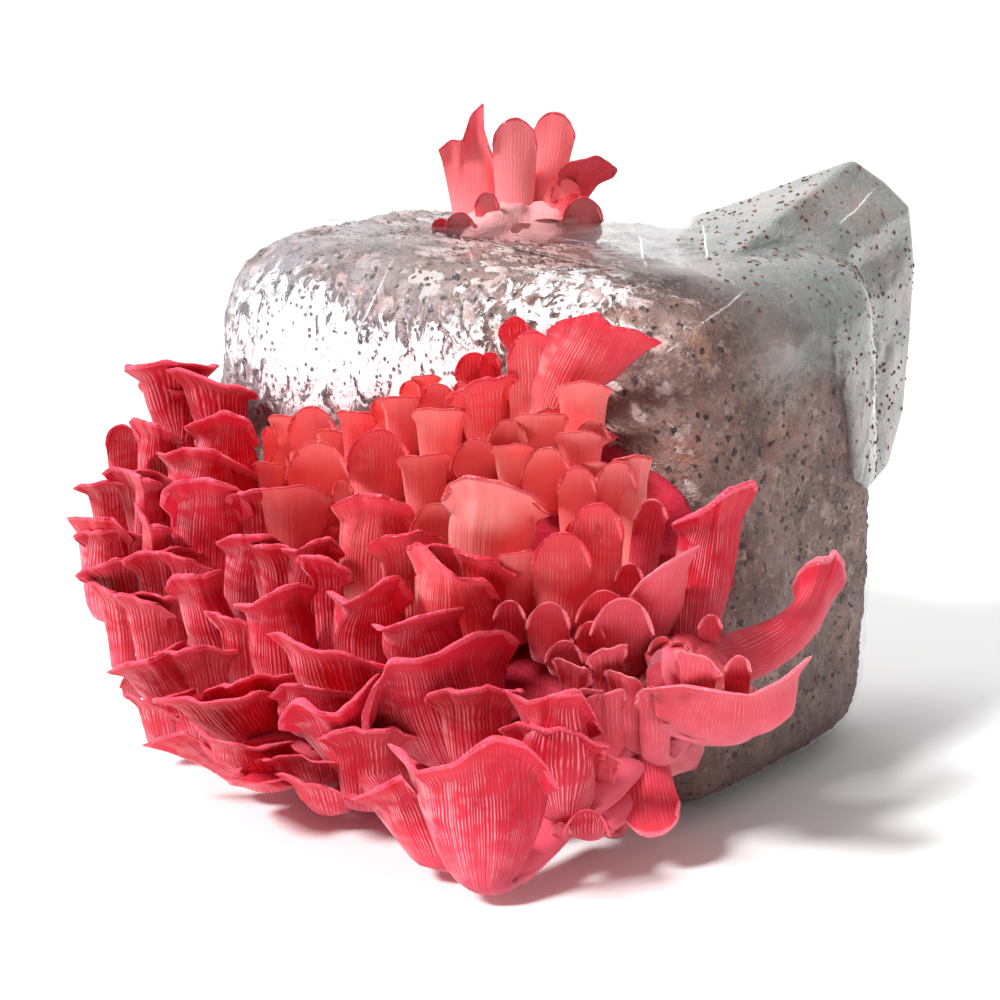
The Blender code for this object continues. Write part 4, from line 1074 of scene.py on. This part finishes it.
def substrate_finish():
    """Brown sawdust and husks, crusted with pale mycelium, and wet where the film lies on them."""
    finish = Finish("grown-through substrate", Specular_IOR_Level=0.6)
    fine = finish.grain(700.0, 2.0)
    chip = finish.cells(260.0, output="Color")
    chip = finish.node("ShaderNodeSeparateColor", {}, {0: chip}, output="Red")
    patch = finish.grain(40.0, 2.0, 0.6)
    spread = finish.measure("mycelium")
    pale = finish.measure("pale")
    low = finish.measure("low")

    # sawdust in two browns with beige patches and darker chips, darkest at its foot
    colour = finish.mix(patch.step(0.32, 0.68), (0.120, 0.058, 0.047), (0.300, 0.175, 0.150))
    beige = finish.grain(105.0, 3.0, 0.70).step(0.52, 0.62) * (1.0 - low)
    colour = finish.mix(beige * 0.62, colour, (0.50, 0.36, 0.32))
    colour = finish.mix(chip * 0.40, colour, (0.050, 0.024, 0.018))
    colour = finish.mix(fine.step(0.50, 0.74) * 0.40, colour, (0.44, 0.35, 0.32))
    colour = finish.mix(low * 0.45, colour, (0.060, 0.030, 0.022))

    # brown stains high up, then crusts of mycelium, a greyer veil at the left, gaps and dark specks
    wide = finish.grain(62.0, 3.0)
    stain = wide.step(0.52, 0.66) * finish.measure("stain")
    colour = finish.mix(stain * 0.55, colour, (0.36, 0.15, 0.08))
    white = finish.mix(patch.step(0.4, 0.6), (0.60, 0.38, 0.35), (0.74, 0.67, 0.64))
    crust = (finish.grain(130.0, 4.0, 0.72) * 1.1 + spread * 0.75 - 0.33).step(0.34, 0.72)
    colour = finish.mix(crust * 0.80, colour, white)
    grey = wide.step(0.35, 0.60) * pale
    colour = finish.mix(grey * 0.70, colour, (0.42, 0.39, 0.43))
    gaps = finish.grain(170.0, 2.0, 0.7).step(0.60, 0.68) * (crust * 0.6 + 0.4)
    colour = finish.mix(gaps * 0.75, colour, (0.050, 0.025, 0.020))
    specks = finish.cells(170.0, place=finish.wavy(300.0, 0.004)).step(0.25, 0.19)
    colour = finish.mix(specks * wide.step(0.36, 0.46), colour, (0.018, 0.008, 0.006))

    crinkle = finish.grain(240.0, 3.0, 0.72, distortion=1.2)
    finish.shade("Base Color", colour)
    finish.shade("Roughness", 0.62 - pale * 0.40 + fine * 0.15)
    finish.shade("Normal", finish.relief(fine * 0.4 + crust * 0.8 + crinkle * (pale + 0.35), 0.0022, 0.95))
    return finish.material


def bag_finish():
    """Clear, crinkled film: cloudy at the left, greyer where it hangs loose, with painted highlights.

    The painted highlights are whitish patches, glint dots and bright lines along creases, drawn on the
    film; they stay where they are in every view.
    """
    finish = Finish("clear film", Specular_IOR_Level=1.0, IOR=1.5, Coat_Weight=1.0, Coat_Roughness=0.05)
    crinkle = finish.grain(150.0, 3.0, 0.75, distortion=1.0)
    wide = finish.grain(42.0, 2.0, 0.6, distortion=0.5)
    haze = finish.grain(26.0, 3.0, 0.6)
    loose = finish.measure("loose")
    cloudy = finish.measure("cloudy")

    # how much of the film is seen: least round the block, more where cloudy, most in the loose mouth
    alpha = haze.step(0.35, 0.75) * 0.07 + 0.05 + cloudy * (wide.step(0.35, 0.7) * 0.24 + 0.05)
    alpha = alpha + loose * (0.46 + haze.step(0.3, 0.7) * 0.22 + crinkle.step(0.5, 0.7) * 0.08)
    shine = finish.mix(loose, (0.24, 0.16, 0.14), (0.25, 0.27, 0.25))
    shine = finish.mix(cloudy, shine, (0.50, 0.48, 0.53))
    colour = finish.mix(haze.step(0.45, 0.75) * 0.8, shine, (0.33, 0.22, 0.20))

    # painted highlights, whitish patches broken into shreds, glint dots along the top and bright lines
    # along creases; and a darker band under the dots
    glare = finish.measure("glare")
    flecks = 1.0 - finish.cells(300.0).step(0.30, 0.22) * crinkle.step(0.40, 0.52) * 0.9
    shreds = finish.grain(1.0, 3.0, 0.74, finish.stretched((150.0, 150.0, 90.0), (0.0, 0.5, 0.0)), 1.0)
    glints = (shreds + glare * 0.27 - 0.24).step(0.31, 0.42) * glare.step(0.06, 0.40) * flecks
    dots = finish.cells(560.0).step(0.22, 0.12) * crinkle.step(0.50, 0.62)
    glints = glints.larger(dots * finish.measure("sparkle"))
    wander = (haze - 0.5) * 0.005
    lines = reduce(Signal.larger, [
        finish.crease_highlight(sight(*first), sight(*last), wander) for first, last in CREASE_HIGHLIGHTS])
    glints = glints.larger(lines * finish.measure("before") * (wide.step(0.30, 0.55) * 0.6 + 0.1))
    band = finish.measure("sparkle") * wide.step(0.30, 0.60)
    colour = finish.mix(band * 0.8, colour, (0.24, 0.19, 0.22))
    colour = finish.mix(glints, colour, (0.93, 0.93, 0.96))
    alpha = alpha + glints * 0.80 + band * 0.30

    finish.shade("Base Color", colour)
    finish.shade("Alpha", alpha)
    finish.shade("Roughness", 0.10 + haze * 0.18 + loose * 0.12)
    finish.shade("Normal", finish.relief(crinkle + wide * 0.8, 0.0020, 0.9))
    return finish.material


SUBSTRATE_GRID = (300, 88, 34)
LUMPS_IN_A_MILLIMETRE = 0.13
CRUMBS_IN_A_MILLIMETRE = 0.40
SUBSTRATE_SUNK = 1.1
CRUMB_DEPTH = 1.8
LUMP_HEIGHT = 0.6
CRUST_HEIGHT = 1.0

substrate_rows = block_surface(0.0, TOP_DROP, *SUBSTRATE_GRID)
substrate_out = facing(substrate_rows)
crusted = smooth(50.0, 130.0, substrate_rows[..., 2]) * smooth(70.0, 10.0, substrate_rows @ ACROSS)
lumps = smooth(0.02, 0.40, noise_field(substrate_rows, LUMPS_IN_A_MILLIMETRE, 4))
crumbs = np.abs(noise_field(substrate_rows, CRUMBS_IN_A_MILLIMETRE, 2, 1.0))
push = -SUBSTRATE_SUNK - crumbs * CRUMB_DEPTH + lumps * (LUMP_HEIGHT + CRUST_HEIGHT * crusted)
substrate_rows = substrate_rows + substrate_out * np.clip(push, -5.0, -0.2)[..., None]
substrate_rows[..., 2] = np.maximum(substrate_rows[..., 2], FILM_WALL + GAP)
substrate = mesh_piece(
    "substrate_grown_through", substrate_rows, rows_closed(substrate_rows), substrate_finish(), {
        "mycelium": lumps * (0.12 + crusted),
        "pale": smooth(0.0, -90.0, substrate_rows @ ACROSS) * smooth(90.0, 160.0, substrate_rows[..., 2]),
        "stain": smooth(80.0, 150.0, substrate_rows[..., 2]),
        "low": smooth(60.0, 8.0, substrate_rows[..., 2]),
    })
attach(substrate, "root")
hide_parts("substrate_block")


# The loose mouth of the bag: for each place along its outer seam, the reading and depth of the
# seam, of the line where the front film leaves the block, and of the line where the back film does.
MOUTH_SEAM = (
    ((684, 219), 14), ((735, 203), 14), ((800, 178), 14), ((853, 160), 15), ((884, 182), 8),
    ((909, 207), 2), ((914, 262), -4), ((910, 330), -4), ((903, 410), -2), ((888, 465), 4),
    ((866, 490), 16),
)
MOUTH_FRONT = (
    ((676, 240), 62), ((690, 292), 118), ((740, 322), 104), ((790, 345), 84), ((816, 358), 66),
    ((832, 370), 52), ((840, 388), 44), ((846, 408), 38), ((848, 430), 34), ((850, 462), 30),
    ((852, 480), 26),
)
MOUTH_BACK = (
    ((690, 232), 2), ((712, 262), -2), ((745, 292), -4), ((775, 318), -4), ((800, 340), -4),
    ((812, 362), -4), ((818, 385), -2), ((822, 410), 0), ((826, 435), 2), ((830, 462), 4),
    ((838, 482), 8),
)

# Painted highlights along sharp creases in the film: the reading and depth of both ends.
CREASE_HIGHLIGHTS = (
    (((872, 190), 12), ((813, 251), 30)), (((703, 221), 40), ((714, 318), 90)),
    (((714, 316), 92), ((592, 414), 110)), (((640, 238), 40), ((651, 315), 110)),
    (((381, 287), 60), ((333, 380), 80)), (((262, 402), 60), ((332, 372), 70)),
    (((470, 255), 40), ((500, 320), 90)),
)


def draped(points, ground, gap):
    """Points that would lie behind a surface, brought out in front of it towards the viewer."""
    eye = sight(READING_AIM, 0.0) + TOWARD * VIEW_REACH
    places = points.reshape(-1, 3).copy()
    for index, ray in enumerate(places - eye):
        reach = float(np.linalg.norm(ray))
        hit = ground.ray_cast(Vector(eye), Vector(ray / reach))
        if hit[0] is not None and hit[3] - gap < reach:
            places[index] = eye + ray / reach * (hit[3] - gap)
    return places.reshape(points.shape)


def drawn(line, count):
    """count points along a line of readings, evenly spaced."""
    points = np.array([sight(*reading) for reading in line])
    steps = np.concatenate(([0.0], np.cumsum(np.linalg.norm(np.diff(points, axis=0), axis=1))))
    where = np.linspace(0.0, steps[-1], count)
    return np.stack([np.interp(where, steps, points[:, axis]) for axis in range(3)], axis=1)


def sheet(near_edge, far_edge, sag, seed, fade, ground=None):
    """A thin closed sheet of loose film between two lines, with creases running from one to the other."""
    rows = SHEET_ROWS
    part = np.linspace(0.0, 1.0, rows)[:, None, None]
    points = near_edge * (1.0 - part) + far_edge * part
    count = points.shape[1]
    across = np.linspace(0.0, 1.0, count)
    folds = np.abs(np.sin(across * 17.0 + seed)) * 1.6 + 0.8 * np.sin(across * 43.0 + 2.0 * seed)
    swing = np.sin(math.pi * part[..., 0]) ** 0.7  # none at the two lines, most midway
    wander = noise_field(points, 0.022, 3, seed) * SHEET_SWELL
    wander = wander + noise_field(points, 0.09, 2, seed) * SHEET_CRINKLE
    points = points + TOWARD * ((sag + folds * SHEET_FOLD + wander) * swing)[..., None]
    if ground:
        points = draped(points, ground, SHEET_LIFT)
    front = points + TOWARD * SHEET_WALL / 2.0
    rear = points - TOWARD * SHEET_WALL / 2.0
    all_points = np.concatenate((front.reshape(-1, 3), rear.reshape(-1, 3)))
    index = np.arange(rows * count).reshape(rows, count)
    other = index + rows * count
    faces = np.concatenate((
        np.stack((index[:-1, :-1], index[:-1, 1:], index[1:, 1:], index[1:, :-1]), -1).reshape(-1, 4),
        np.stack((other[:-1, :-1], other[1:, :-1], other[1:, 1:], other[:-1, 1:]), -1).reshape(-1, 4),
    )).tolist()
    rim = [*index[0], *index[1:, -1], *index[-1, -2::-1], *index[-2:0:-1, 0]]
    for first, second in zip(rim, [*rim[1:], rim[0]]):
        faces.append([int(second), int(first), int(first + rows * count), int(second + rows * count)])
    loose = np.repeat(smooth(-0.01, fade, np.linspace(0.0, 1.0, rows)), count)
    loose = loose * np.tile(smooth(0.0, 0.05, across), rows)
    nothing = np.zeros(len(all_points))
    return all_points, turned_out(all_points, faces), {
        "loose": np.tile(loose, 2), "cloudy": nothing, "glare": nothing, "sparkle": nothing,
        "before": nothing + (1.0 if ground else 0.0)}


# Crinkles of the film: soft swells, and sharp ones that run at a slant and are drawn out along it.
SOFT_CRINKLE = 0.9
SHARP_CRINKLE = 1.1
CRINKLE_SLANT = 0.6
CRINKLE_STRETCH = (1.0, 1.0, 0.35)
CRINKLE_MOST = 2.4
# Painted highlights on the film, whitish patches and small glinting sparkles: where each is seen, how wide
# and high it is, and how strong.
GLARES = ((285, 335, 50, 56, 1.0), (400, 365, 100, 46, 0.80), (560, 300, 80, 36, 0.55))
SPARKLES = ((370, 236, 130, 20, 1.0), (640, 240, 80, 20, 0.6))

film_rows = block_surface(FILM_CLEARANCE, 0.0, *FILM_GRID)
film_out = facing(film_rows)
slanted = film_rows @ np.array(Matrix.Rotation(CRINKLE_SLANT, 3, "Y")) * CRINKLE_STRETCH
crinkle = SOFT_CRINKLE * noise_field(film_rows, 0.05, 3, 3.0)
crinkle = crinkle + SHARP_CRINKLE * noise_field(slanted, 0.13, 3, 4.0, True)
film_outer = film_rows + film_out * np.clip(crinkle + 0.4, 0.0, CRINKLE_MOST)[..., None]
film_outer[..., 2] = np.maximum(film_outer[..., 2], 0.0)
film_faces = rows_closed(film_outer)
cloudy = smooth(20.0, -110.0, film_rows @ ACROSS) * smooth(70.0, 150.0, film_rows[..., 2])
cloudy = np.maximum(cloudy, smooth(BLOCK_HEIGHT - 12.0, BLOCK_HEIGHT + 1.0, film_rows[..., 2]) * 0.35)
air_under = film_rows[..., 2] - block_surface(FILM_CLEARANCE, TOP_DROP, *FILM_GRID)[..., 2]
hollow = 1.25 * smooth(3.0, 13.0, air_under) * smooth(138.0, 172.0, film_rows[..., 2])
seen_across, seen_down = seen(film_rows)
before = smooth(-0.10, 0.25, film_out @ TOWARD)


def painted_glare(across, down, wide, high, strength):
    """A painted highlight: full strength at a reading, fading out over wide and high, on the film that
    faces the front view.
    """
    return strength * np.exp(
        -((seen_across - across) / wide) ** 2 - ((seen_down - down) / high) ** 2) * before


glare = sum(painted_glare(*patch) for patch in GLARES)
sparkle = np.maximum.reduce([painted_glare(*patch) for patch in SPARKLES])
film_shell = (film_outer.reshape(-1, 3), turned_out(film_outer.reshape(-1, 3), film_faces), {
    "loose": hollow, "cloudy": cloudy, "glare": glare, "sparkle": sparkle, "before": before})
seam = drawn(MOUTH_SEAM, SEAM_POINTS)
film_tree = BVHTree.FromPolygons(
    [Vector(point) for point in film_outer.reshape(-1, 3)], film_faces)
front_sheet = sheet(drawn(MOUTH_FRONT, SEAM_POINTS), seam, 2.0, 1.0, 0.30, film_tree)
back_sheet = sheet(drawn(MOUTH_BACK, SEAM_POINTS), seam, -2.0, 2.3, 0.01)
bag = joined("film_with_loose_mouth", [film_shell, front_sheet, back_sheet], bag_finish())
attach(bag, "root")
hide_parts("grow_bag")


# ------------------------------------------------------------------ scattered crumbs

CRUMB_TILT = 0.35


def chip_shape(name):
    """A small flat splinter a millimetre long."""
    points = [(x * wide, y * wide, z * 0.16) for x, wide in ((-0.5, 0.6), (0.5, 0.5)) for y in (-0.35, 0.35)
              for z in (-0.5, 0.5)]
    points.append((0.05, 0.0, 0.16))
    made = mesh_piece(name, points, [], None, None, False)
    shape = bmesh.new()
    shape.from_mesh(made.data)
    bmesh.ops.convex_hull(shape, input=shape.verts)
    shape.to_mesh(made.data)
    shape.free()
    return made


def scattered(name, ground, item, density, sizes, seed, surface, mask=None):
    """Copies of an item strewn over a mesh by Geometry Nodes, made into one plain mesh."""
    tree = bpy.data.node_groups.new(name, "GeometryNodeTree")
    tree.interface.new_socket("Geometry", in_out="INPUT", socket_type="NodeSocketGeometry")
    tree.interface.new_socket("Geometry", in_out="OUTPUT", socket_type="NodeSocketGeometry")
    amount = tree.interface.new_socket("Density", in_out="INPUT", socket_type="NodeSocketFloat")

    def node(kind, values=None, **settings):
        made = tree.nodes.new(kind)
        for setting, value in settings.items():
            setattr(made, setting, value)
        for socket, value in (values or {}).items():
            if isinstance(value, bpy.types.NodeSocket):
                tree.links.new(value, made.inputs[socket])
            else:
                made.inputs[socket].default_value = value
        return made

    source = node("NodeGroupInput")
    strewn = node("GeometryNodeDistributePointsOnFaces", {
        "Mesh": source.outputs["Geometry"], "Seed": seed})
    if mask:
        field = node("GeometryNodeInputNamedAttribute", {"Name": mask}, data_type="FLOAT")
        product = node("ShaderNodeMath", {
            0: field.outputs["Attribute"], 1: source.outputs["Density"]}, operation="MULTIPLY")
        tree.links.new(product.outputs[0], strewn.inputs["Density"])
    else:
        tree.links.new(source.outputs["Density"], strewn.inputs["Density"])
    shape = node("GeometryNodeObjectInfo", {"Object": item})
    tilt = node("FunctionNodeRandomValue", {
        0: (-CRUMB_TILT, -CRUMB_TILT, 0.0), 1: (CRUMB_TILT, CRUMB_TILT, math.tau),
        "Seed": seed + 2}, data_type="FLOAT_VECTOR")
    rotation = node("FunctionNodeRotateRotation", {
        "Rotation": strewn.outputs["Rotation"], "Rotate By": tilt.outputs["Value"]}, rotation_space="LOCAL")
    size = node("FunctionNodeRandomValue", {2: sizes[0], 3: sizes[1], "Seed": seed + 3}, data_type="FLOAT")
    placed = node("GeometryNodeInstanceOnPoints", {
        "Points": strewn.outputs["Points"], "Instance": shape.outputs["Geometry"],
        "Rotation": rotation.outputs["Rotation"], "Scale": size.outputs["Value"]})
    real = node("GeometryNodeRealizeInstances", {"Geometry": placed.outputs["Instances"]})
    painted = node("GeometryNodeSetMaterial", {"Geometry": real.outputs["Geometry"], "Material": surface})
    node("NodeGroupOutput", {"Geometry": painted.outputs["Geometry"]})

    carrier = bpy.data.objects.new(name, ground.data.copy())
    bpy.context.scene.collection.objects.link(carrier)
    strewing = carrier.modifiers.new("strewn", "NODES")
    strewing.node_group = tree
    strewing[amount.identifier] = density
    graph = bpy.context.evaluated_depsgraph_get()
    mesh = bpy.data.meshes.new_from_object(carrier.evaluated_get(graph))
    carrier.modifiers.remove(strewing)
    carrier.data = mesh
    return carrier


def crumb_finish(name, dark, light):
    """Dry, grainy crumbs between two browns."""
    finish = Finish(name, Specular_IOR_Level=0.3)
    colour = finish.mix(finish.grain(120.0, 2.0).step(0.35, 0.65), dark, light)
    colour = finish.mix(finish.grain(900.0, 2.0) * 0.4, colour, (0.02, 0.01, 0.008))
    finish.shade("Base Color", colour)
    finish.shade("Roughness", finish.grain(500.0, 2.0) * 0.3 + 0.5)
    return finish.material


splinter = chip_shape("splinter")
loose_film = joined("loose_film", [front_sheet, back_sheet])
flap_crumbs = scattered(
    "flap_crumbs", loose_film, splinter, 14000.0, (0.9, 3.2), 3,
    crumb_finish("brown crumbs", (0.10, 0.028, 0.018), (0.22, 0.07, 0.045)), "loose")
chips = scattered(
    "substrate_chips", substrate, splinter, 26000.0, (1.0, 3.6), 11,
    crumb_finish("husks and splinters", (0.030, 0.012, 0.009), (0.30, 0.19, 0.15)))
for piece, node_name in ((flap_crumbs, "grow_bag"), (chips, "substrate_block")):
    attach(piece, "root")
    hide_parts(node_name)
for spare in (splinter, loose_film):
    bpy.data.objects.remove(spare)


# ------------------------------------------------------------------ camera, light and floor

# The sky is brightest behind the object and at its left; a slant along x, y and z round a middle.
SKY_SLANT = (-0.25, 0.66, 0.10)
SKY_MIDDLE = 0.46
SKY_LEAST = 0.05
SUN_STRENGTH = 4.0
SUN_WIDTH = 12.0
SUN_PLACE = (-0.80, -0.62, 0.98)
# Each lamp: its name, place, size and power. They point at LAMP_AIM.
LAMPS = (("top", (-0.10, 0.25, 1.1), 0.4, 5.0), ("fill", (0.95, -0.85, 0.55), 0.5, 2.5))
LAMP_AIM = (0.0, 0.0, 0.08)
SENSOR_WIDTH = 36.0
PICTURE_WIDTH = 1000.0
FLOOR_REACH = 6000.0
FLOOR_LEVEL = -0.05


def staging():
    """The camera of the front view, the light of a white studio, and its floor."""
    scene = bpy.context.scene
    eye = bpy.data.cameras.new("camera")
    eye.sensor_width = SENSOR_WIDTH
    eye.lens = SENSOR_WIDTH * VIEW_REACH / (PICTURE_WIDTH * READING_STEP)
    eye.clip_start = 0.01
    eye.clip_end = 20.0
    camera = bpy.data.objects.new("camera", eye)
    scene.collection.objects.link(camera)
    camera.location = Vector((sight(READING_AIM, 0.0) + TOWARD * VIEW_REACH) * MM)
    camera.rotation_euler = (math.pi / 2.0 - VIEW_TILT, 0.0, 0.0)
    scene.camera = camera

    world = bpy.data.worlds.new("studio")
    scene.world = world
    world.use_nodes = True
    tree = world.node_tree
    around = tree.nodes.new("ShaderNodeTexCoord")
    slant = tree.nodes.new("ShaderNodeVectorMath")
    slant.operation = "DOT_PRODUCT"
    slant.inputs[1].default_value = SKY_SLANT
    brightness = tree.nodes.new("ShaderNodeMapRange")
    for socket, value in (("From Min", -1.0), ("From Max", 1.0), ("To Min", SKY_MIDDLE - 1.0),
                          ("To Max", SKY_MIDDLE + 1.0)):
        brightness.inputs[socket].default_value = value
    least = tree.nodes.new("ShaderNodeMath")
    least.operation = "MAXIMUM"
    least.inputs[1].default_value = SKY_LEAST
    tree.links.new(around.outputs["Generated"], slant.inputs[0])
    tree.links.new(slant.outputs["Value"], brightness.inputs["Value"])
    tree.links.new(brightness.outputs[0], least.inputs[0])
    tree.links.new(least.outputs[0], tree.nodes["Background"].inputs["Strength"])
    tree.nodes["Background"].inputs["Color"].default_value = (1.0, 1.0, 1.0, 1.0)
    scene.view_settings.view_transform = "Standard"

    sun = bpy.data.lights.new("key", "SUN")
    sun.energy = SUN_STRENGTH
    sun.angle = math.radians(SUN_WIDTH)
    key = bpy.data.objects.new("key", sun)
    scene.collection.objects.link(key)
    key.rotation_euler = (-Vector(SUN_PLACE)).to_track_quat("-Z", "Y").to_euler()

    for name, place, size, power in LAMPS:
        lamp = bpy.data.lights.new(name, "AREA")
        lamp.shape = "DISK"
        lamp.size = size
        lamp.energy = power
        light = bpy.data.objects.new(name, lamp)
        scene.collection.objects.link(light)
        light.location = place
        light.rotation_euler = (Vector(LAMP_AIM) - Vector(place)).to_track_quat("-Z", "Y").to_euler()

    finish = Finish("white floor", Base_Color=(0.95, 0.95, 0.95, 1.0), Roughness=0.9)
    corners = [
        (x * FLOOR_REACH, y * FLOOR_REACH, FLOOR_LEVEL) for x, y in ((-1, -1), (1, -1), (1, 1), (-1, 1))]
    floor = mesh_piece("floor", corners, [[0, 1, 2, 3]], finish.material, None, False)


staging()
